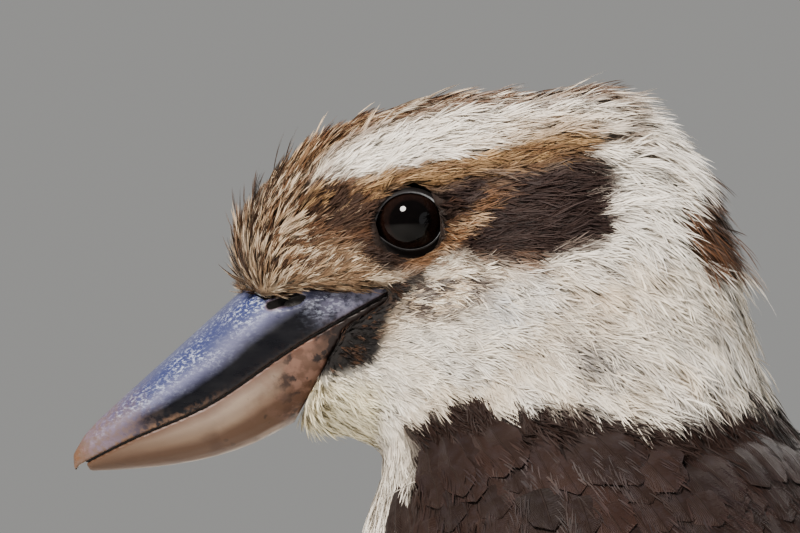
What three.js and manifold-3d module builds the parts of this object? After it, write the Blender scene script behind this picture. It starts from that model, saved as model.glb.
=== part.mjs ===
// A laughing kookaburra, life size and still, standing on both feet with its head drawn in and its bill
// lowered. Millimetres, +Z up. The head looks along -X and the tail trails towards +X, so the bird's left
// side faces -Y. Profile points are [x, z] from the centre of the eyes; the finished group stands on z = 0,
// centred over its own box.
import * as THREE from "three";
import { mergeVertices } from "three/addons/utils/BufferGeometryUtils.js";
import Module from "manifold-3d";

const wasm = await Module();
wasm.setup();

const { degToRad, lerp, smoothstep } = THREE.MathUtils;

// Driving dimensions
const EYE_ABOVE_FLOOR = 246;
const GAP = 0.35;
const BODY_TURN = degToRad(14);
const NECK_X = 45;

const BILL_TIP = [-74.4, -53.9];
const BILL_PITCH = degToRad(29.2);
const BILL_LENGTH = 88;
const GAPE_HALF_WIDTH = 20.6;
const GONYS_DEPTH = 15.3;
const GONYS_AT = 43;
const FEATHER_MARGIN = 53.3;
const CHIN_MARGIN = 48.4;

const EYE_RADIUS = 8.6;
const EYE_SIDE = 14.2;
const LID_RADIUS = 7.5;
const LID_THICK = 0.95;

const TAIL_LENGTH = 150;
const TAIL_ROOT = [176, -199];
const TAIL_DROP = degToRad(14);

const ANKLE = [86, -216];
const FOOT = [72, -239];
const FOOT_SIDE = 27;
const TARSUS_RADIUS = 3.2;
const ANKLE_CUT = ANKLE[1] + 1;
const FOOT_CUT = 6.2 - EYE_ABOVE_FLOOR;

// The feathered body from the forehead to the tail root: the top and bottom of each section, its half
// width, how far it has turned with the body (0 head, 1 body), and how much wider it is low down than high up
const SECTIONS = [
  { part: "forehead front", top: [-38.4, -8], bottom: [-31, -26], half: 8, turn: 0, low: 0 },
  { part: "forehead", top: [-36.5, 1], bottom: [-27, -38], half: 13, turn: 0, low: 0.05 },
  { part: "lores", top: [-30, 9.8], bottom: [-22, -44], half: 17, turn: 0, low: 0.1 },
  { part: "brow", top: [-20, 18.6], bottom: [-17, -46.5], half: 20, turn: 0, low: 0.12 },
  { part: "front of the eye", top: [-8, 25], bottom: [-13, -48], half: 22, turn: 0, low: 0.14 },
  { part: "back of the eye", top: [8, 28], bottom: [-10, -49.2], half: 23.6, turn: 0, low: 0.14 },
  { part: "crown", top: [26, 28.8], bottom: [-8, -50.5], half: 26.5, turn: 0, low: 0.12 },
  { part: "hind crown", top: [43, 29.3], bottom: [-7.3, -52], half: 29.5, turn: 0, low: 0.08 },
  { part: "nape", top: [56, 21], bottom: [-7.6, -54], half: 32, turn: 0.05, low: 0.05 },
  { part: "upper collar", top: [66, 6], bottom: [-8.3, -57], half: 34.5, turn: 0.15, low: 0 },
  { part: "collar", top: [72.5, -14], bottom: [-9.2, -61], half: 38, turn: 0.35, low: 0 },
  { part: "lower collar", top: [77.5, -32], bottom: [-10.3, -68], half: 43, turn: 0.6, low: 0 },
  { part: "shoulders", top: [85, -45], bottom: [-12, -80], half: 48, turn: 0.85, low: 0 },
  { part: "breast", top: [95, -58], bottom: [-13, -95], half: 52, turn: 1, low: 0 },
  { part: "mantle", top: [108, -75], bottom: [-10, -115], half: 54, turn: 1, low: 0 },
  { part: "mid back", top: [123, -97], bottom: [-2, -139], half: 54, turn: 1, low: 0 },
  { part: "belly", top: [137, -121], bottom: [13, -161], half: 51, turn: 1, low: 0 },
  { part: "lower back", top: [149, -143], bottom: [36, -181], half: 45, turn: 1, low: 0 },
  { part: "rump", top: [159, -162], bottom: [67, -195], half: 37, turn: 1, low: 0 },
  { part: "vent", top: [167, -178], bottom: [101, -203], half: 28, turn: 1, low: 0 },
  { part: "tail coverts", top: [175, -190], bottom: [132, -209], half: 19, turn: 1, low: 0 },
  { part: "tail root", top: [183, -198], bottom: [160, -211], half: 12, turn: 1, low: 0 },
];
const LAST = SECTIONS.length - 1;
const SIDES = [["left", -1], ["right", 1]];
const HEAD_ENDS = 8.6;
const NECK_ENDS = 11.6;

// Below 1, how far a section's sides are squared from an ellipse
const FULLNESS = 0.86;
const BODY_RINGS = 35;
const BODY_SIDES = 26;

// Where the wing's bed starts to stand away from the narrowing rump, and by how much at the tail root
const WING_STARTS_AT = 11.15;
const WING_ENDS_AT = 20.9;
const BED_FLARE_FROM = 16;
const BED_FLARE = 15;
const BED_RISE = 7;
const BED_INSET = 6;

const sections = {
  top: curveOf((s) => [s.top[0], s.half, s.top[1]]),
  bottom: curveOf((s) => [s.bottom[0], s.low, s.bottom[1]]),
  turn: curveOf((s) => [s.turn, 0, 0]),
};

function curveOf(values) {
  const points = SECTIONS.map((s) => new THREE.Vector3(...values(s)));
  return new THREE.CatmullRomCurve3(points, false, "catmullrom", 0.5);
}

// Turns a point of the straight bird with the body, about the upright axis through the neck
function turned(point, share = 1) {
  const away = point.x - NECK_X;
  const angle = -BODY_TURN * share;
  const y = point.y;
  point.x = NECK_X + away * Math.cos(angle) - y * Math.sin(angle);
  point.y = away * Math.sin(angle) + y * Math.cos(angle);
  return point;
}

// A point on the body at a section number, at an angle round it from the ridge of the back (0) to the keel
// (pi). A positive angle runs down the left side.
function bodyPoint(at, angle, grow = 0, flare = 0, inset = 0) {
  const u = Math.min(Math.max(at / LAST, 0), 1);
  const top = sections.top.getPoint(u);
  const bottom = sections.bottom.getPoint(u);
  const rise = (top.z - bottom.z) / 2;
  const run = (top.x - bottom.x) / 2;
  const reach = Math.hypot(rise, run);
  const long = (reach + grow - inset * 0.5) / reach;
  const half = top.y + grow + flare * BED_FLARE - inset;
  const round = Math.sign(Math.sin(angle)) * Math.abs(Math.sin(angle)) ** FULLNESS;
  const side = half * round * (1 - bottom.y * Math.cos(angle));
  const point = new THREE.Vector3(
    (top.x + bottom.x) / 2 + run * long * Math.cos(angle),
    -side,
    (top.z + bottom.z) / 2 + rise * long * Math.cos(angle) + flare * BED_RISE,
  );
  return turned(point, sections.turn.getPoint(u).x);
}

// A closed solid from rings of points, each end closed by a fan. Rings of a thin vane list its upper face
// first, and both faces are split along the same diagonals.
function solidOf(rings, thin = false) {
  const count = rings[0].length;
  const points = rings.flat();
  const faces = [];
  for (let i = 0; i + 1 < rings.length; i++) {
    for (let j = 0; j < count; j++) {
      const a = i * count + j;
      const b = i * count + ((j + 1) % count);
      const c = b + count;
      const d = a + count;
      if (thin && j >= count / 2) faces.push(a, b, d, b, c, d);
      else faces.push(a, b, c, a, c, d);
    }
  }
  for (const [first, forward] of [[0, false], [(rings.length - 1) * count, true]]) {
    const centre = new THREE.Vector3();
    for (let j = 0; j < count; j++) centre.addScaledVector(points[first + j], 1 / count);
    points.push(centre);
    const hub = points.length - 1;
    for (let j = 0; j < count; j++) {
      const a = first + j;
      const b = first + ((j + 1) % count);
      faces.push(...(forward ? [a, b, hub] : [b, a, hub]));
    }
  }
  if (volumeOf(points, faces) < 0) faces.reverse();
  const flat = points.flatMap((p) => [p.x, p.y, p.z]);
  return new wasm.Manifold(
    new wasm.Mesh({ numProp: 3, vertProperties: new Float32Array(flat), triVerts: new Uint32Array(faces) }),
  );
}

// Six times the volume inside the faces, negative where they look inwards
function volumeOf(points, faces) {
  let volume = 0;
  for (let i = 0; i < faces.length; i += 3) {
    const [a, b, c] = [points[faces[i]], points[faces[i + 1]], points[faces[i + 2]]];
    volume += a.dot(new THREE.Vector3().crossVectors(b, c));
  }
  return volume;
}

function solidFrom(geometry) {
  const bare = geometry.clone();
  bare.deleteAttribute("normal");
  bare.deleteAttribute("uv");
  const merged = mergeVertices(bare, 1e-4);
  return new wasm.Manifold(
    new wasm.Mesh({
      numProp: 3,
      vertProperties: merged.attributes.position.array,
      triVerts: new Uint32Array(merged.index.array),
    }),
  );
}

function largest(solid) {
  return solid.decompose().sort((a, b) => b.volume() - a.volume())[0];
}

function geometryOf(solid) {
  const mesh = solid.getMesh();
  const geometry = new THREE.BufferGeometry();
  const position = new Float32Array(mesh.numVert * 3);
  for (let i = 0; i < mesh.numVert; i++) {
    position.set(mesh.vertProperties.subarray(i * mesh.numProp, i * mesh.numProp + 3), i * 3);
  }
  geometry.setAttribute("position", new THREE.BufferAttribute(position, 3));
  geometry.setIndex(new THREE.BufferAttribute(mesh.triVerts, 1));
  geometry.computeVertexNormals();
  return geometry;
}

function steps(count, from = 0, to = 1) {
  return Array.from({ length: count + 1 }, (_, i) => lerp(from, to, i / count));
}

function roundTurn(count) {
  return steps(count, 0, 2 * Math.PI).slice(0, count);
}

// A tapered tube of round sections along a list of points
function tube(points, radii, sides) {
  const path = new THREE.CatmullRomCurve3(points);
  const count = radii.length - 1;
  const rings = radii.map((radius, i) => {
    const at = path.getPoint(i / count);
    const along = path.getTangent(i / count);
    const across = new THREE.Vector3(along.y, -along.x, 0);
    if (across.length() < 0.2) across.set(0, 1, 0);
    across.normalize();
    const up = new THREE.Vector3().crossVectors(across, along).normalize();
    return roundTurn(sides).map((angle) => {
      const point = at.clone().addScaledVector(across, radius * Math.cos(angle));
      return point.addScaledVector(up, radius * Math.sin(angle));
    });
  });
  return solidOf(rings);
}

// The bill's own frame: how far from its tip towards the head, and how high above its axis
function billPoint(along, high, side = 0) {
  return new THREE.Vector3(
    BILL_TIP[0] + along * Math.cos(BILL_PITCH) - high * Math.sin(BILL_PITCH),
    side,
    BILL_TIP[1] + along * Math.sin(BILL_PITCH) + high * Math.cos(BILL_PITCH),
  );
}
const culmen = (along) => 3.6 * (1 - Math.exp(-along / 3)) + 0.228 * along;
const mouthLine = (along) => -0.6 - 2.2 * Math.exp(-(((along - 34) / 16) ** 2));
const gonys = (along) => -1.2 - (GONYS_DEPTH - 1.2) * Math.sin((Math.PI / 2) * Math.min(along / GONYS_AT, 1));
const billHalfWidth = (along) => 1 + (GAPE_HALF_WIDTH - 1) * (along / BILL_LENGTH) ** 0.8;

// Points where the feathers end on the bill, in the bill's frame, from the culmen down past the nostril to
// the gape and back along the lower half to the chin
const UPPER_MARGIN = [
  [FEATHER_MARGIN, 15.6],
  [55.6, 11.6],
  [64, 9.6],
  [72.4, 4.6],
  [80.6, 1.5],
  [BILL_LENGTH, -0.1],
];
const LOWER_MARGIN = [[BILL_LENGTH, -1.5], [67.7, -2.8], [58, -9], [CHIN_MARGIN, -14.9]];

// The side view of what the bill's horn fills, right through the head
function billWindow(upper, lower) {
  const before = -12;
  const above = 60;
  const outline = [
    [before, -above],
    [before, above],
    [upper[0][0], above],
    ...upper,
    ...lower,
    [lower[lower.length - 1][0], -above],
  ].map(([along, high]) => {
    const p = billPoint(along, high);
    return new THREE.Vector2(p.x, p.z);
  });
  const width = 100;
  const geometry = new THREE.ExtrudeGeometry(new THREE.Shape(outline), { depth: width, bevelEnabled: false });
  geometry.rotateX(Math.PI / 2).translate(0, width / 2, 0);
  return solidFrom(geometry);
}
const moved = (points, along, high) => points.map(([a, h]) => [a + along, h + high]);

function billRing(along, outline) {
  return outline.map(([side, high]) => billPoint(along, high, side));
}

function upperBill() {
  const around = 12;
  const outline = (along) => {
    const base = mouthLine(along) + GAP / 2;
    const arch = steps(around, 0, Math.PI).map((angle) => [
      billHalfWidth(along) * Math.cos(angle),
      base + (culmen(along) - base + 0.4) * Math.sin(angle) ** 0.92,
    ]);
    return [...arch, [-0.5 * billHalfWidth(along), base + 0.1], [0.5 * billHalfWidth(along), base + 0.1]];
  };
  const hook = outline(0).map(([side, high]) => [side * 0.8, high - 1.1]);
  const rings = [
    billRing(0.2, hook),
    ...steps(20, 1.6, BILL_LENGTH).map((along) => billRing(along, outline(along))),
  ];
  const window = billWindow(moved(UPPER_MARGIN, -0.4, -0.4), moved(LOWER_MARGIN, 0.4, 0));
  let bill = solidOf(rings).intersect(window);
  for (const side of [-1, 1]) {
    const nostril = new THREE.SphereGeometry(1, 12, 8);
    nostril.scale(4.6, 1.6, 1.15).rotateY(-BILL_PITCH * 0.55);
    const at = billPoint(60.2, 8.1, side * (billHalfWidth(60) - 2.1));
    nostril.translate(at.x, at.y, at.z);
    bill = bill.subtract(solidFrom(nostril));
  }
  return largest(bill);
}

function lowerBill() {
  const around = 12;
  const outline = (along) => {
    const base = mouthLine(along) - GAP / 2;
    const bowl = steps(around, 0, Math.PI).map((angle) => [
      0.97 * billHalfWidth(along) * Math.cos(angle),
      base + (gonys(along) - base) * Math.sin(angle) ** 0.9,
    ]);
    return [...bowl, [-0.5 * billHalfWidth(along), base - 0.1], [0.5 * billHalfWidth(along), base - 0.1]];
  };
  const rings = steps(18, 3.2, BILL_LENGTH - 8).map((along) => billRing(along, outline(along)));
  const window = billWindow(moved(UPPER_MARGIN, -0.4, 0), moved(LOWER_MARGIN, -GAP, 0));
  return largest(solidOf(rings).intersect(window));
}

function eyeball(side, grow = 0) {
  const ball = new THREE.SphereGeometry(EYE_RADIUS + grow, 20, 12);
  ball.rotateX(Math.PI / 2).translate(0, side * EYE_SIDE, 0);
  return solidFrom(ball);
}

// The lids: a raised ring where the eye leaves the head
const LIDS_SIDE = EYE_SIDE + Math.sqrt(EYE_RADIUS ** 2 - LID_RADIUS ** 2);
function lids(side) {
  const ring = new THREE.TorusGeometry(LID_RADIUS, LID_THICK, 5, 24);
  ring.rotateX(Math.PI / 2).translate(0, side * LIDS_SIDE, 0);
  return solidFrom(ring);
}

// The flared hollow in which the eye lies
function socket(side) {
  const length = 20;
  const hole = new THREE.CylinderGeometry(LID_RADIUS + 3.2, LID_RADIUS, length, 24);
  hole.rotateX((side * Math.PI) / 2).translate(0, side * (LIDS_SIDE + length / 2), 0);
  return solidFrom(hole);
}

function bodyLoft(from, to, count, around, grow = 0) {
  const ring = (at) => roundTurn(around).map((angle) => bodyPoint(at, angle, grow));
  return solidOf(steps(count, from, to).map(ring));
}

// A thin upright slab in the plane of a section, which parts two neighbours by the gap
function slabAt(at) {
  const top = bodyPoint(at, 0);
  const bottom = bodyPoint(at, Math.PI);
  const down = bottom.clone().sub(top).normalize();
  const side = bodyPoint(at, Math.PI / 2).sub(bodyPoint(at, -Math.PI / 2));
  side.addScaledVector(down, -side.dot(down)).normalize();
  const across = new THREE.Vector3().crossVectors(down, side);
  const wide = 240;
  const slab = new THREE.BoxGeometry(wide, wide, GAP);
  slab.applyMatrix4(new THREE.Matrix4().makeBasis(down, side, across));
  const middle = top.add(bottom).multiplyScalar(0.5);
  slab.translate(middle.x, middle.y, middle.z);
  return solidFrom(slab);
}

// The folded wing lies on a bed over the body. Along it runs from the wrist (0) to the tip (1), across from
// its upper edge (-1) to its lower edge (1), and high is the height above the bed in millimetres.
const WING_HALF_SPAN = 33;
const wristRound = (along) => Math.sqrt(Math.max(0, 1 - (1 - Math.min(along / 0.16, 1)) ** 2));
const wingTaper = (along) => 1 - 0.78 * smoothstep(along, 0.45, 1.05);
const wingHalfSpan = (along) => WING_HALF_SPAN * wristRound(along) * wingTaper(along);
const wingMiddle = (along) => degToRad(110 - 82 * Math.max(along, 0) ** 1.05);

function bedPoint(at, angle, side) {
  const flare = smoothstep(at, BED_FLARE_FROM, LAST);
  return bodyPoint(at, -side * angle, 0, flare, BED_INSET);
}

function wingPoint(side, along, across, high, span = Math.max(wingHalfSpan(along), 1)) {
  const at = lerp(WING_STARTS_AT, WING_ENDS_AT, along);
  const u = at / LAST;
  const radius = (sections.top.getPoint(u).y + BED_FLARE * smoothstep(at, BED_FLARE_FROM, LAST)) * 1.02;
  const angle = wingMiddle(along) + (across * span) / radius;
  const point = bedPoint(at, angle, side);
  const small = 0.01;
  const lengthwise = bedPoint(at + small, angle, side).sub(point);
  const round = bedPoint(at, angle + small, side).sub(point);
  const normal = new THREE.Vector3().crossVectors(lengthwise, round).normalize();
  const inside = bodyPoint(at, 0).add(bodyPoint(at, Math.PI)).multiplyScalar(0.5);
  if (normal.dot(point.clone().sub(inside)) < 0) normal.negate();
  return point.addScaledVector(normal, high);
}

// A shell over the bed between two heights, the upper one given for each place across it
function wingShell(side, stations, spanAt, low, highAt) {
  const across = steps(7, -1, 1);
  const rings = stations.map((along) => {
    const upper = across.map((c) => wingPoint(side, along, c, highAt(along, c), spanAt(along)));
    const under = across.map((c) => wingPoint(side, along, c, low, spanAt(along))).reverse();
    return [...upper, ...under];
  });
  return solidOf(rings, true);
}

// The room that the wing takes out of the body
function wingBed(side) {
  const span = (along) => Math.max(wingHalfSpan(along) + 3.5, 17);
  return wingShell(side, steps(18, -0.04, 1.04), span, -1.5, () => 30);
}

// The arm of the wing, which every feather of it is rooted in, thinning to its edges
const ARM_ENDS = 0.62;
const ARM_FLOOR = 0.9;
function wingArm(side) {
  const depth = (along) => 3.6 - 1.8 * smoothstep(along, 0.3, ARM_ENDS);
  const high = (along, c) => lerp(ARM_FLOOR, depth(along), Math.sqrt(1 - (c * 0.93) ** 2));
  const span = (along) => Math.max(wingHalfSpan(along) - 2.5, 3);
  return wingShell(side, steps(10, 0.02, ARM_ENDS), span, ARM_FLOOR, high);
}

// The share of a vane's full half width at u along it: a narrow quill, a parallel web and a round tip
function webShare(u, tipFrom = 0.74) {
  const quill = Math.min(1, 0.34 + 3.2 * u);
  const tip = u > tipFrom ? Math.sqrt(Math.max(0.05, 1 - ((u - tipFrom) / (1.02 - tipFrom)) ** 2)) : 1;
  return quill * tip;
}

const VANE_THICK = 0.55;

// A feather: place(u, side, high) puts a point of it, webs gives the half widths of its inner and outer web,
// stations are the shares of its length where it is set out, and ridge adds a line of points along its shaft
function vane(place, webs, stations, ridge) {
  const rings = stations.map((u) => {
    const [inner, outer] = webs(u);
    const sides = ridge ? [-inner, 0, outer] : [-inner, outer];
    const upper = sides.map((y) => place(u, y, VANE_THICK));
    return [...upper, ...sides.map((y) => place(u, y, 0)).reverse()];
  });
  return solidOf(rings, true);
}

// Every vane of the wing is set out on the same lines across it, so that neighbours lie flat on each other
const WING_LINE = 0.12;
function wingStations(root, tip) {
  const lines = [];
  for (let line = 0.02; line < lerp(root, tip, 0.86); line += WING_LINE) {
    if (line > root + 0.035) lines.push((line - root) / (tip - root));
  }
  return [0, ...lines, 0.93, 1];
}

// Tiers of the folded wing, from the body outwards: how many feathers, the shares of the wing's length where
// the first and last are rooted and end, where they lie across it near the wrist and near the tip
// (millimetres down from the middle line), the height of the first above the bed, how much lower each next one
// lies, the half width of a web, the slope across it, and the share of its length in which a feather rises.
const FLIGHT = { rises: 0.34, from: [-18, 18], to: [-12, 12], drop: 0.35, tilt: 0.08 };
const COVERT = { ...FLIGHT, rises: 0.5 };
const PRIMARY = { ...FLIGHT, from: [0, 14], to: [-6, 5], drop: 0.7, tilt: 0 };
const SCAPULAR = { ...COVERT, from: [-21, -20], to: [-16, -23], drop: -1.2, tilt: 0 };
const TIERS = [
  { ...PRIMARY, count: 4, root: [0.44, 0.4], tip: [0.88, 1.0], high: 3.9, half: 6.6 },
  { ...FLIGHT, count: 5, root: [0.32, 0.16], tip: [0.66, 0.79], high: 5.5, half: 8.2 },
  { ...COVERT, count: 5, root: [0.18, 0.09], tip: [0.46, 0.41], high: 6.6, half: 7.8 },
  { ...COVERT, count: 5, root: [0.1, 0.06], tip: [0.31, 0.26], high: 7.6, half: 7.6 },
  { ...COVERT, count: 5, root: [0.05, 0.04], tip: [0.19, 0.16], high: 8.6, half: 7 },
  { ...SCAPULAR, count: 2, root: [0.34, 0.2], tip: [0.6, 0.46], high: 7.4, half: 8 },
];
const ROOT_HEIGHT = 1.9;

// Where a feather of a tier lies across the wing: the lanes of all tiers narrow together towards the tip
function laneAt(tier, share, along) {
  const lane = lerp(lerp(...tier.from, share), lerp(...tier.to, share), Math.max(0, along - 0.3) / 0.5);
  return lane * Math.min(1, 0.45 + along * 4);
}

function wingFeather(side, tier, i) {
  const share = i / (tier.count - 1);
  const [root, tip] = [lerp(...tier.root, share), lerp(...tier.tip, share)];
  const top = tier.high - tier.drop * i;
  const place = (u, y, up) => {
    const along = lerp(root, tip, u);
    const lift = lerp(ROOT_HEIGHT, top, smoothstep(u, 0, tier.rises));
    return wingPoint(side, along, laneAt(tier, share, along) + y, lift + tier.tilt * y + up, 1);
  };
  const webs = (u) => Array(2).fill(tier.half * webShare(u));
  return vane(place, webs, wingStations(root, tip), false);
}

function wing(side) {
  let whole = wingArm(side);
  for (const tier of TIERS) {
    for (let i = 0; i < tier.count; i++) whole = whole.add(wingFeather(side, tier, i));
  }
  return largest(whole);
}

// The tail's frame: how far behind its root, to the right, and above its middle
function tailPoint(run, side, high) {
  return turned(
    new THREE.Vector3(
      TAIL_ROOT[0] + run * Math.cos(TAIL_DROP) + high * Math.sin(TAIL_DROP),
      side,
      TAIL_ROOT[1] - run * Math.sin(TAIL_DROP) + high * Math.cos(TAIL_DROP),
    ),
  );
}

// Six pairs of tail feathers, the middle pair on top, and a root that also carries the coverts over and under
const TAIL_PAIRS = 6;
const TAIL_LAYER = 0.95;
const TAIL_WEB = 12;
const TAIL_CORE = 52;
const TAIL_ARCH = 0.0032;
const TAIL_STATIONS = [0, 0.3, 0.7, 0.92, 1];
const TAIL_COVERT_STATIONS = [0, 0.25, 0.75, 1];

// The root of the tail, flat and thinning backwards, with no edge at its sides
function tailCore() {
  const rings = steps(5).map((t) => {
    const half = lerp(15, 13, t);
    const thick = lerp(5.2, 1.6, t ** 0.8);
    return steps(6, -1, 1)
      .map((c) => [c * half, thick * (1 - 0.5 * c * c)])
      .concat(steps(6, 1, -1).map((c) => [c * half, -thick * (1 - 0.4 * c * c)]))
      .map(([y, z]) => tailPoint(TAIL_CORE * t, y, z - TAIL_ARCH * y * y));
  });
  return solidOf(rings, true);
}

function tailFeather(side, pair) {
  const start = 2.4 + 1.7 * pair;
  const spread = Math.tan(degToRad(0.9 + 1.15 * pair));
  const length = TAIL_LENGTH - 3 * pair - 5 * Math.max(0, pair - 3);
  const layer = 2.3 - TAIL_LAYER * pair;
  const middle = (u) => start + spread * length * u;
  const webs = (u) => {
    const web = TAIL_WEB * webShare(u, 0.82);
    const [inner, outer] = [Math.min(web, middle(u) - GAP / 2), web * (pair === 5 ? 0.75 : 1)];
    return side > 0 ? [inner, outer] : [outer, inner];
  };
  const place = (u, y, up) => {
    const across = side * middle(u) + y;
    return tailPoint(lerp(6, length, u), across, layer + up - TAIL_ARCH * across * across);
  };
  return vane(place, webs, TAIL_STATIONS, true);
}

// Coverts over and under the tail's root: rows of short vanes that rise out of the core
function tailCovert(side, row, over) {
  const middle = 3.4 + 5.4 * row;
  const length = (over ? 50 : 62) - 7 * row;
  const away = over ? 1 : -1;
  const top = (over ? 5.2 : 5.4) - TAIL_LAYER * row;
  const webs = (u) => {
    const web = 6.6 * webShare(u, 0.6);
    const inner = Math.min(web, middle - GAP / 2);
    return side > 0 ? [inner, web] : [web, inner];
  };
  const place = (u, y, up) => {
    const across = side * middle + y;
    const level = away * lerp(2.2, top, smoothstep(u, 0, 0.4));
    return tailPoint(lerp(3, length, u), across, level + up - TAIL_ARCH * across * across);
  };
  return vane(place, webs, TAIL_COVERT_STATIONS, false);
}

function tail() {
  let whole = tailCore();
  for (const [, side] of SIDES) {
    for (let pair = 0; pair < TAIL_PAIRS; pair++) whole = whole.add(tailFeather(side, pair));
    for (const row of [0, 1]) whole = whole.add(tailCovert(side, row, true));
    whole = whole.add(tailCovert(side, 0, false));
  }
  return largest(whole);
}

const bodySpot = (x, side, y, z) => turned(new THREE.Vector3(x, side * y, z));

// The feathered thigh, as level rings from inside the belly down to the ankle
const THIGH_TOP = [84, -170];
const THIGH_RADIUS = 21;

function thigh(side) {
  const around = 16;
  const rings = steps(9).map((u) => {
    const radius = lerp(THIGH_RADIUS, 5.6, smoothstep(u, 0.12, 1.05));
    return roundTurn(around).map((angle) =>
      bodySpot(
        lerp(THIGH_TOP[0], ANKLE[0], u) + radius * 1.12 * Math.cos(angle),
        side,
        lerp(22, FOOT_SIDE, u) + radius * 0.82 * Math.sin(angle),
        lerp(THIGH_TOP[1], ANKLE[1], u),
      ),
    );
  });
  return solidOf(rings);
}

function tarsus(side) {
  const points = [
    bodySpot(ANKLE[0], side, FOOT_SIDE, ANKLE[1] + 4),
    bodySpot(ANKLE[0] - 1, side, FOOT_SIDE, ANKLE[1] - 2),
    bodySpot(FOOT[0] + 4, side, FOOT_SIDE, FOOT[1] + 6),
    bodySpot(FOOT[0], side, FOOT_SIDE, FOOT[1]),
  ];
  const ankle = [3.4, 4.2];
  const heel = [3.5, 4.2];
  return tube(points, [...ankle, TARSUS_RADIUS, TARSUS_RADIUS, ...heel], 10);
}

// Toes by their length, thickness and heading from straight ahead (degrees, outwards positive)
const TOES = {
  inner: { length: 21, radius: 2.9, heading: -17 },
  middle: { length: 30, radius: 3.2, heading: 2 },
  outer: { length: 26, radius: 3.0, heading: 15 },
  hind: { length: 17, radius: 3.0, heading: 172 },
};
const CLAW_REACH = 7.74;

function toeSpot(side, toe, reach, high) {
  const heading = degToRad(toe.heading);
  return bodySpot(
    FOOT[0] - reach * Math.cos(heading),
    side,
    FOOT_SIDE + reach * Math.sin(heading),
    -EYE_ABOVE_FLOOR + high,
  );
}

function toe(side, kind) {
  const t = TOES[kind];
  const joints = 6;
  const points = steps(joints).map((u) => toeSpot(side, t, u * t.length, lerp(3.6, 2.7, u)));
  const radii = steps(joints).map((u, i) => {
    const knuckle = i % 2 ? 0.93 : 1.06;
    const end = i === joints ? 0.72 : 1;
    return t.radius * (1 - 0.2 * u) * knuckle * end;
  });
  return tube(points, radii, 6);
}

function claw(side, kind) {
  const t = TOES[kind];
  const high = (u) => 2.9 + 5 * u * u * (1 - u) - 2.3 * u ** 3;
  const points = steps(3).map((u) => toeSpot(side, t, t.length + GAP + 0.15 + u * CLAW_REACH, high(u)));
  return largest(cutBelow(tube(points, [1.9, 1.7, 1.1, 0.35], 6), -EYE_ABOVE_FLOOR));
}

function foot(side) {
  const pad = new THREE.SphereGeometry(1, 10, 7);
  const at = bodySpot(FOOT[0], side, FOOT_SIDE, -EYE_ABOVE_FLOOR + 3.4);
  pad.scale(6.4, 5.4, 4.2).translate(at.x, at.y, at.z);
  let whole = solidFrom(pad);
  for (const kind of Object.keys(TOES)) whole = whole.add(toe(side, kind));
  return largest(cutBelow(whole, -EYE_ABOVE_FLOOR));
}

const CUT_DEPTH = 60;
function slice(middle) {
  const block = new THREE.BoxGeometry(600, 600, CUT_DEPTH);
  block.translate(0, 0, middle);
  return solidFrom(block);
}
const cutBelow = (solid, height) => solid.subtract(slice(height - CUT_DEPTH / 2));
const cutAbove = (solid, height) => solid.subtract(slice(height + CUT_DEPTH / 2));

// Colours of the finish, as on the real bird
const FINISH = {
  horn_upper: { color: 0x3b4458, roughness: 0.42 },
  horn_lower: { color: 0xb08f78, roughness: 0.45 },
  eye: { color: 0x120c0a, roughness: 0.05 },
  head: { color: 0xe6e0d8, roughness: 0.9 },
  white: { color: 0xe9e4dc, roughness: 0.9 },
  wing: { color: 0x4a352e, roughness: 0.85 },
  tail: { color: 0x9a6240, roughness: 0.85 },
  foot: { color: 0x6d6a58, roughness: 0.7 },
  claw: { color: 0x231d1a, roughness: 0.4 },
};

function node(parent, name, solid, finish) {
  const material = new THREE.MeshStandardMaterial({ ...FINISH[finish], metalness: 0 });
  const mesh = new THREE.Mesh(geometryOf(solid), material);
  mesh.name = name;
  parent.add(mesh);
  return mesh;
}

const bird = new THREE.Group();
const headGroup = new THREE.Group();
const bodyGroup = new THREE.Group();
const legGroup = new THREE.Group();
bird.add(headGroup, bodyGroup, legGroup);

// The head, the neck and the torso: one loft, cut at the collar and hollowed for the bill, the eyes and wings
function fleshParts() {
  let whole = bodyLoft(0, LAST, BODY_RINGS, BODY_SIDES);
  whole = whole.subtract(billWindow(UPPER_MARGIN, LOWER_MARGIN));
  for (const [, side] of SIDES) {
    whole = whole.subtract(socket(side)).add(lids(side)).subtract(eyeball(side, GAP)).subtract(wingBed(side));
  }
  whole = whole.subtract(slabAt(HEAD_ENDS)).subtract(slabAt(NECK_ENDS));
  const pieces = whole.decompose().sort((a, b) => b.volume() - a.volume()).slice(0, 3);
  const middleOf = (s) => {
    const box = s.boundingBox();
    return (box.min[0] + box.max[0]) / 2 - (box.min[2] + box.max[2]) / 2;
  };
  return pieces.sort((a, b) => middleOf(a) - middleOf(b));
}

const [head, neck, torso] = fleshParts();
node(headGroup, "head", head, "head");
node(headGroup, "bill_upper", upperBill(), "horn_upper");
node(headGroup, "bill_lower", lowerBill(), "horn_lower");
node(bodyGroup, "neck", neck, "white");
node(bodyGroup, "torso", largest(torso.subtract(tailRootSpace())), "white");
node(bodyGroup, "tail", tail(), "tail");

// Room for the tail's root, so that the two meet face to face
function tailRootSpace() {
  const box = new THREE.BoxGeometry(80, 80, 80);
  box.translate(40, 0, 0).rotateY(TAIL_DROP).rotateZ(-BODY_TURN);
  const at = turned(new THREE.Vector3(TAIL_ROOT[0] - GAP, 0, TAIL_ROOT[1]));
  box.translate(at.x, at.y, at.z);
  return solidFrom(box);
}

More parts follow.
